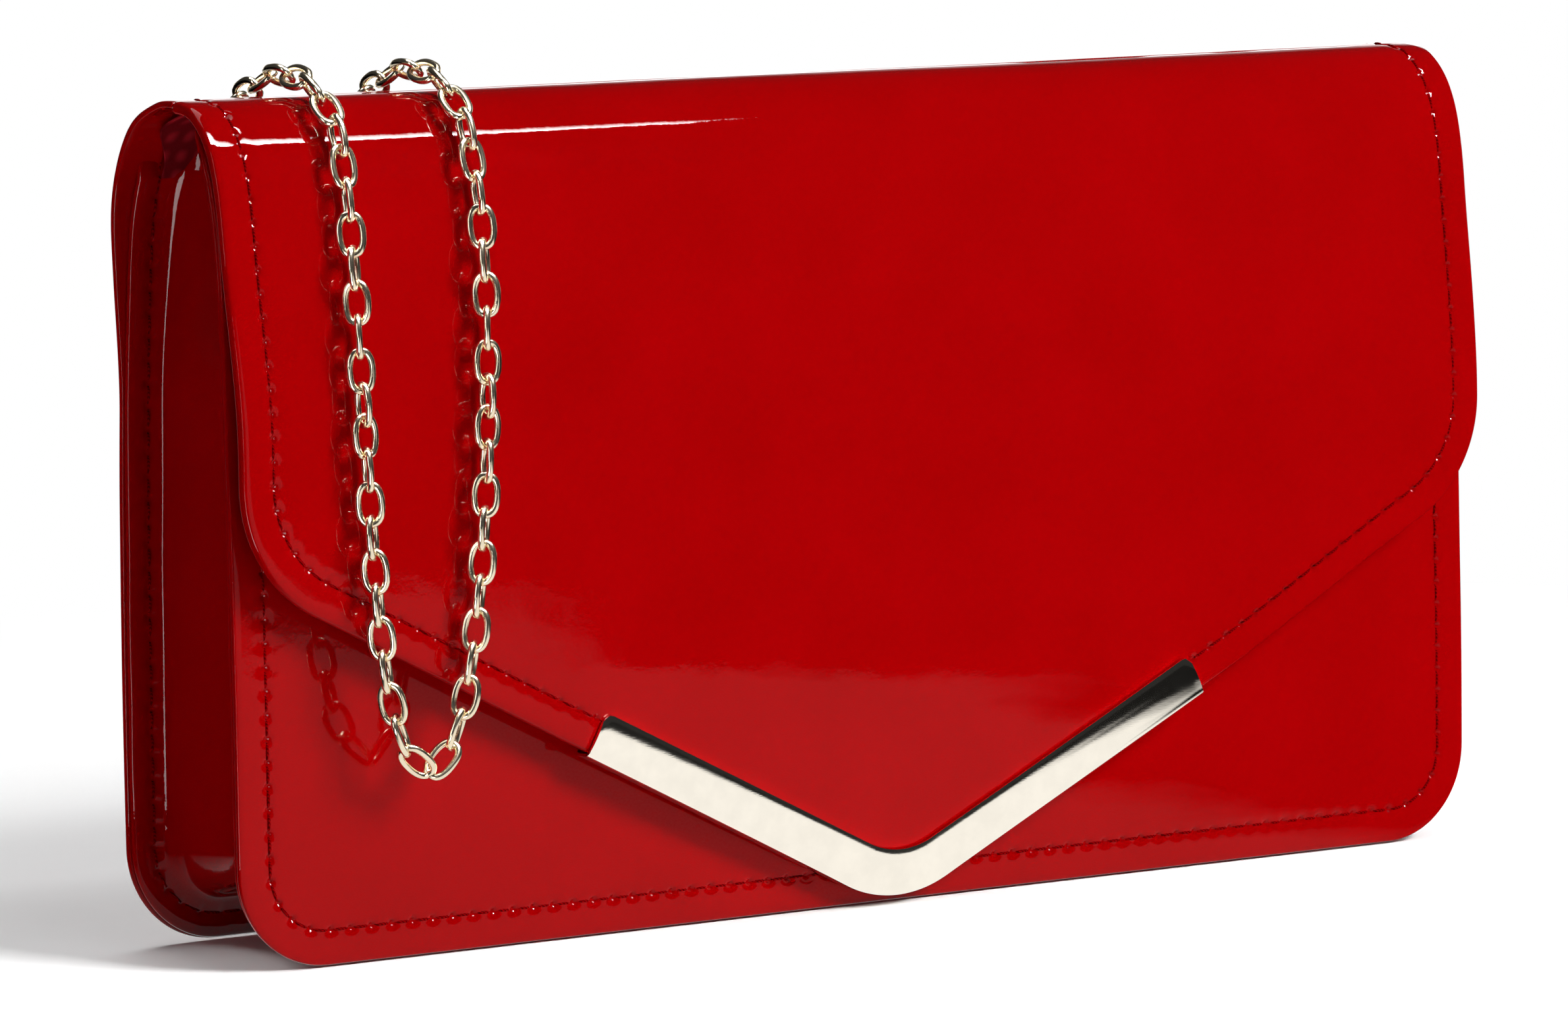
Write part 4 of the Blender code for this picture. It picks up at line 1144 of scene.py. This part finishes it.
def build_floor():
    """A pale floor that the purse stands on, wide enough to fill the view."""
    floor = bpy.data.meshes.new("floor")
    floor.from_pydata([(-6, -6, 0), (6, -6, 0), (6, 6, 0), (-6, 6, 0)], [], [(0, 1, 2, 3)])
    obj = bpy.data.objects.new("floor", floor)
    obj.location.z = -FLOOR_GAP
    bpy.context.scene.collection.objects.link(obj)
    mat, shader, tree = finish_of("floor", (0.93, 0.93, 0.93), 0.75)
    speckle = noise_of(tree, object_space(tree), 30.0, 2.0)
    tone = ramp_of(tree, speckle, 0.3, 0.7, (0.92, 0.92, 0.92), (0.94, 0.94, 0.94))
    feed(tree, shader, Base_Color=tone)

    # The camera sees the floor whiten away from the purse.
    rays = node_of(tree, "LightPath").outputs
    distance = node_of(tree, "VectorMath", Vector=object_space(tree))
    distance.operation = "LENGTH"
    fade = range_of(tree, distance.outputs["Value"], 0.15, 0.5, 0.0, 1.0)
    seen = math_of(tree, "MULTIPLY", fade, rays["Is Camera Ray"])
    white = node_of(tree, "Emission").outputs["Emission"]
    direct = mix_of(tree, seen, shader.outputs["BSDF"], white)

    # Reflections see an even white sweep near the purse, which ends at its left
    # end and at a ragged edge on its right.
    ragged = noise_of(tree, object_space(tree), 9.0, 5.0)
    across = parts_of(tree, object_space(tree))["X"]
    swing = math_of(tree, "MULTIPLY_ADD", ragged, SWEEP_RAGGED, across)
    sweep = range_of(tree, swing, SWEEP_END, SWEEP_END + 0.04, SWEEP_GLOW, 0.01)
    ahead = range_of(tree, across, SWEEP_START, SWEEP_START + 0.03, 0.0, 1.0)
    mirrored = node_of(tree, "Emission", Strength=math_of(tree, "MULTIPLY", sweep, ahead))
    surface = mix_of(tree, rays["Is Glossy Ray"], direct, mirrored.outputs["Emission"])
    feed(tree, tree.nodes["Material Output"], Surface=surface)
    floor.materials.append(mat)


def build_world():
    """White to the camera, dim to the purse, and dark with a pale backdrop low behind it to reflections."""
    world = bpy.data.worlds.new("studio")
    bpy.context.scene.world = world
    world.use_nodes = True
    tree = world.node_tree
    rays = node_of(tree, "LightPath").outputs
    dim = tree.nodes["Background"]
    feed(tree, dim, Color=(0.13, 0.13, 0.133, 1.0))
    white = node_of(tree, "Background", Color=(1.0, 1.0, 1.0, 1.0))

    way = parts_of(tree, node_of(tree, "TexCoord").outputs["Generated"])
    low = range_of(tree, way["Z"], 0.3, 0.02, 0.0, 1.0)
    behind = range_of(tree, math_of(tree, "ADD", way["X"], way["Y"]), 0.9, 1.2, 0.0, 1.0)
    backdrop = math_of(tree, "MULTIPLY", low, behind)
    glow = range_of(tree, backdrop, 0.0, 1.0, 0.03, BACKDROP_GLOW)
    mirrored = node_of(tree, "Background", Strength=glow).outputs["Background"]

    unseen = mix_of(tree, rays["Is Glossy Ray"], dim.outputs["Background"], mirrored)
    surface = mix_of(tree, rays["Is Camera Ray"], unseen, white.outputs["Background"])
    feed(tree, tree.nodes["World Output"], Surface=surface)


def build_camera():
    lens = bpy.data.cameras.new("camera")
    lens.lens, lens.sensor_width = 182.79, 36.0
    lens.clip_start, lens.clip_end = 0.05, 50.0
    camera = bpy.data.objects.new("camera", lens)
    right = Vector((0.83568197, -0.54894664, -0.0171241))
    up = Vector((0.07013535, 0.07574184, 0.99465783))
    back = right.cross(up).normalized()
    place = Matrix((right, up, back)).transposed().to_4x4()
    place.translation = Vector((-776.55, -1176.73 + SHIFT_Y, 212.12)) * MM
    camera.matrix_world = place
    bpy.context.scene.collection.objects.link(camera)
    bpy.context.scene.camera = camera


def build_lights():
    area("key", (0.75, -1.7, 1.25), (0, 0, 0.07), 0.8, 0.8, 78.0, mirrored=False)
    band = area("band", (0.29, -0.555, 1.3), (0.29, -0.555, 0.0), 1.1, 0.41, 700.0, matt=False)
    fade_across(band)
    area("top", (-0.2, 0.35, 1.6), (0, 0, 0.1), 1.5, 0.7, 14.0)
    area("edge", (-1.55, -0.35, 0.5), (-0.13, 0, 0.08), 0.07, 0.9, 3.0, matt=False)
    area("rims", (-0.613, -0.524, 0.003), (-0.613, -0.524, 1.003), 1.2, 0.04, 3.0, matt=False, spin=0.81)


build_skins()
build_front()
build_gusset()
build_trim()
build_chain()
build_body_plies()
build_flap_plies()
build_rings()
build_snap()
dress_clasps()
build_floor()
build_world()
build_camera()
build_lights()
bpy.context.scene.view_settings.view_transform = "Standard"
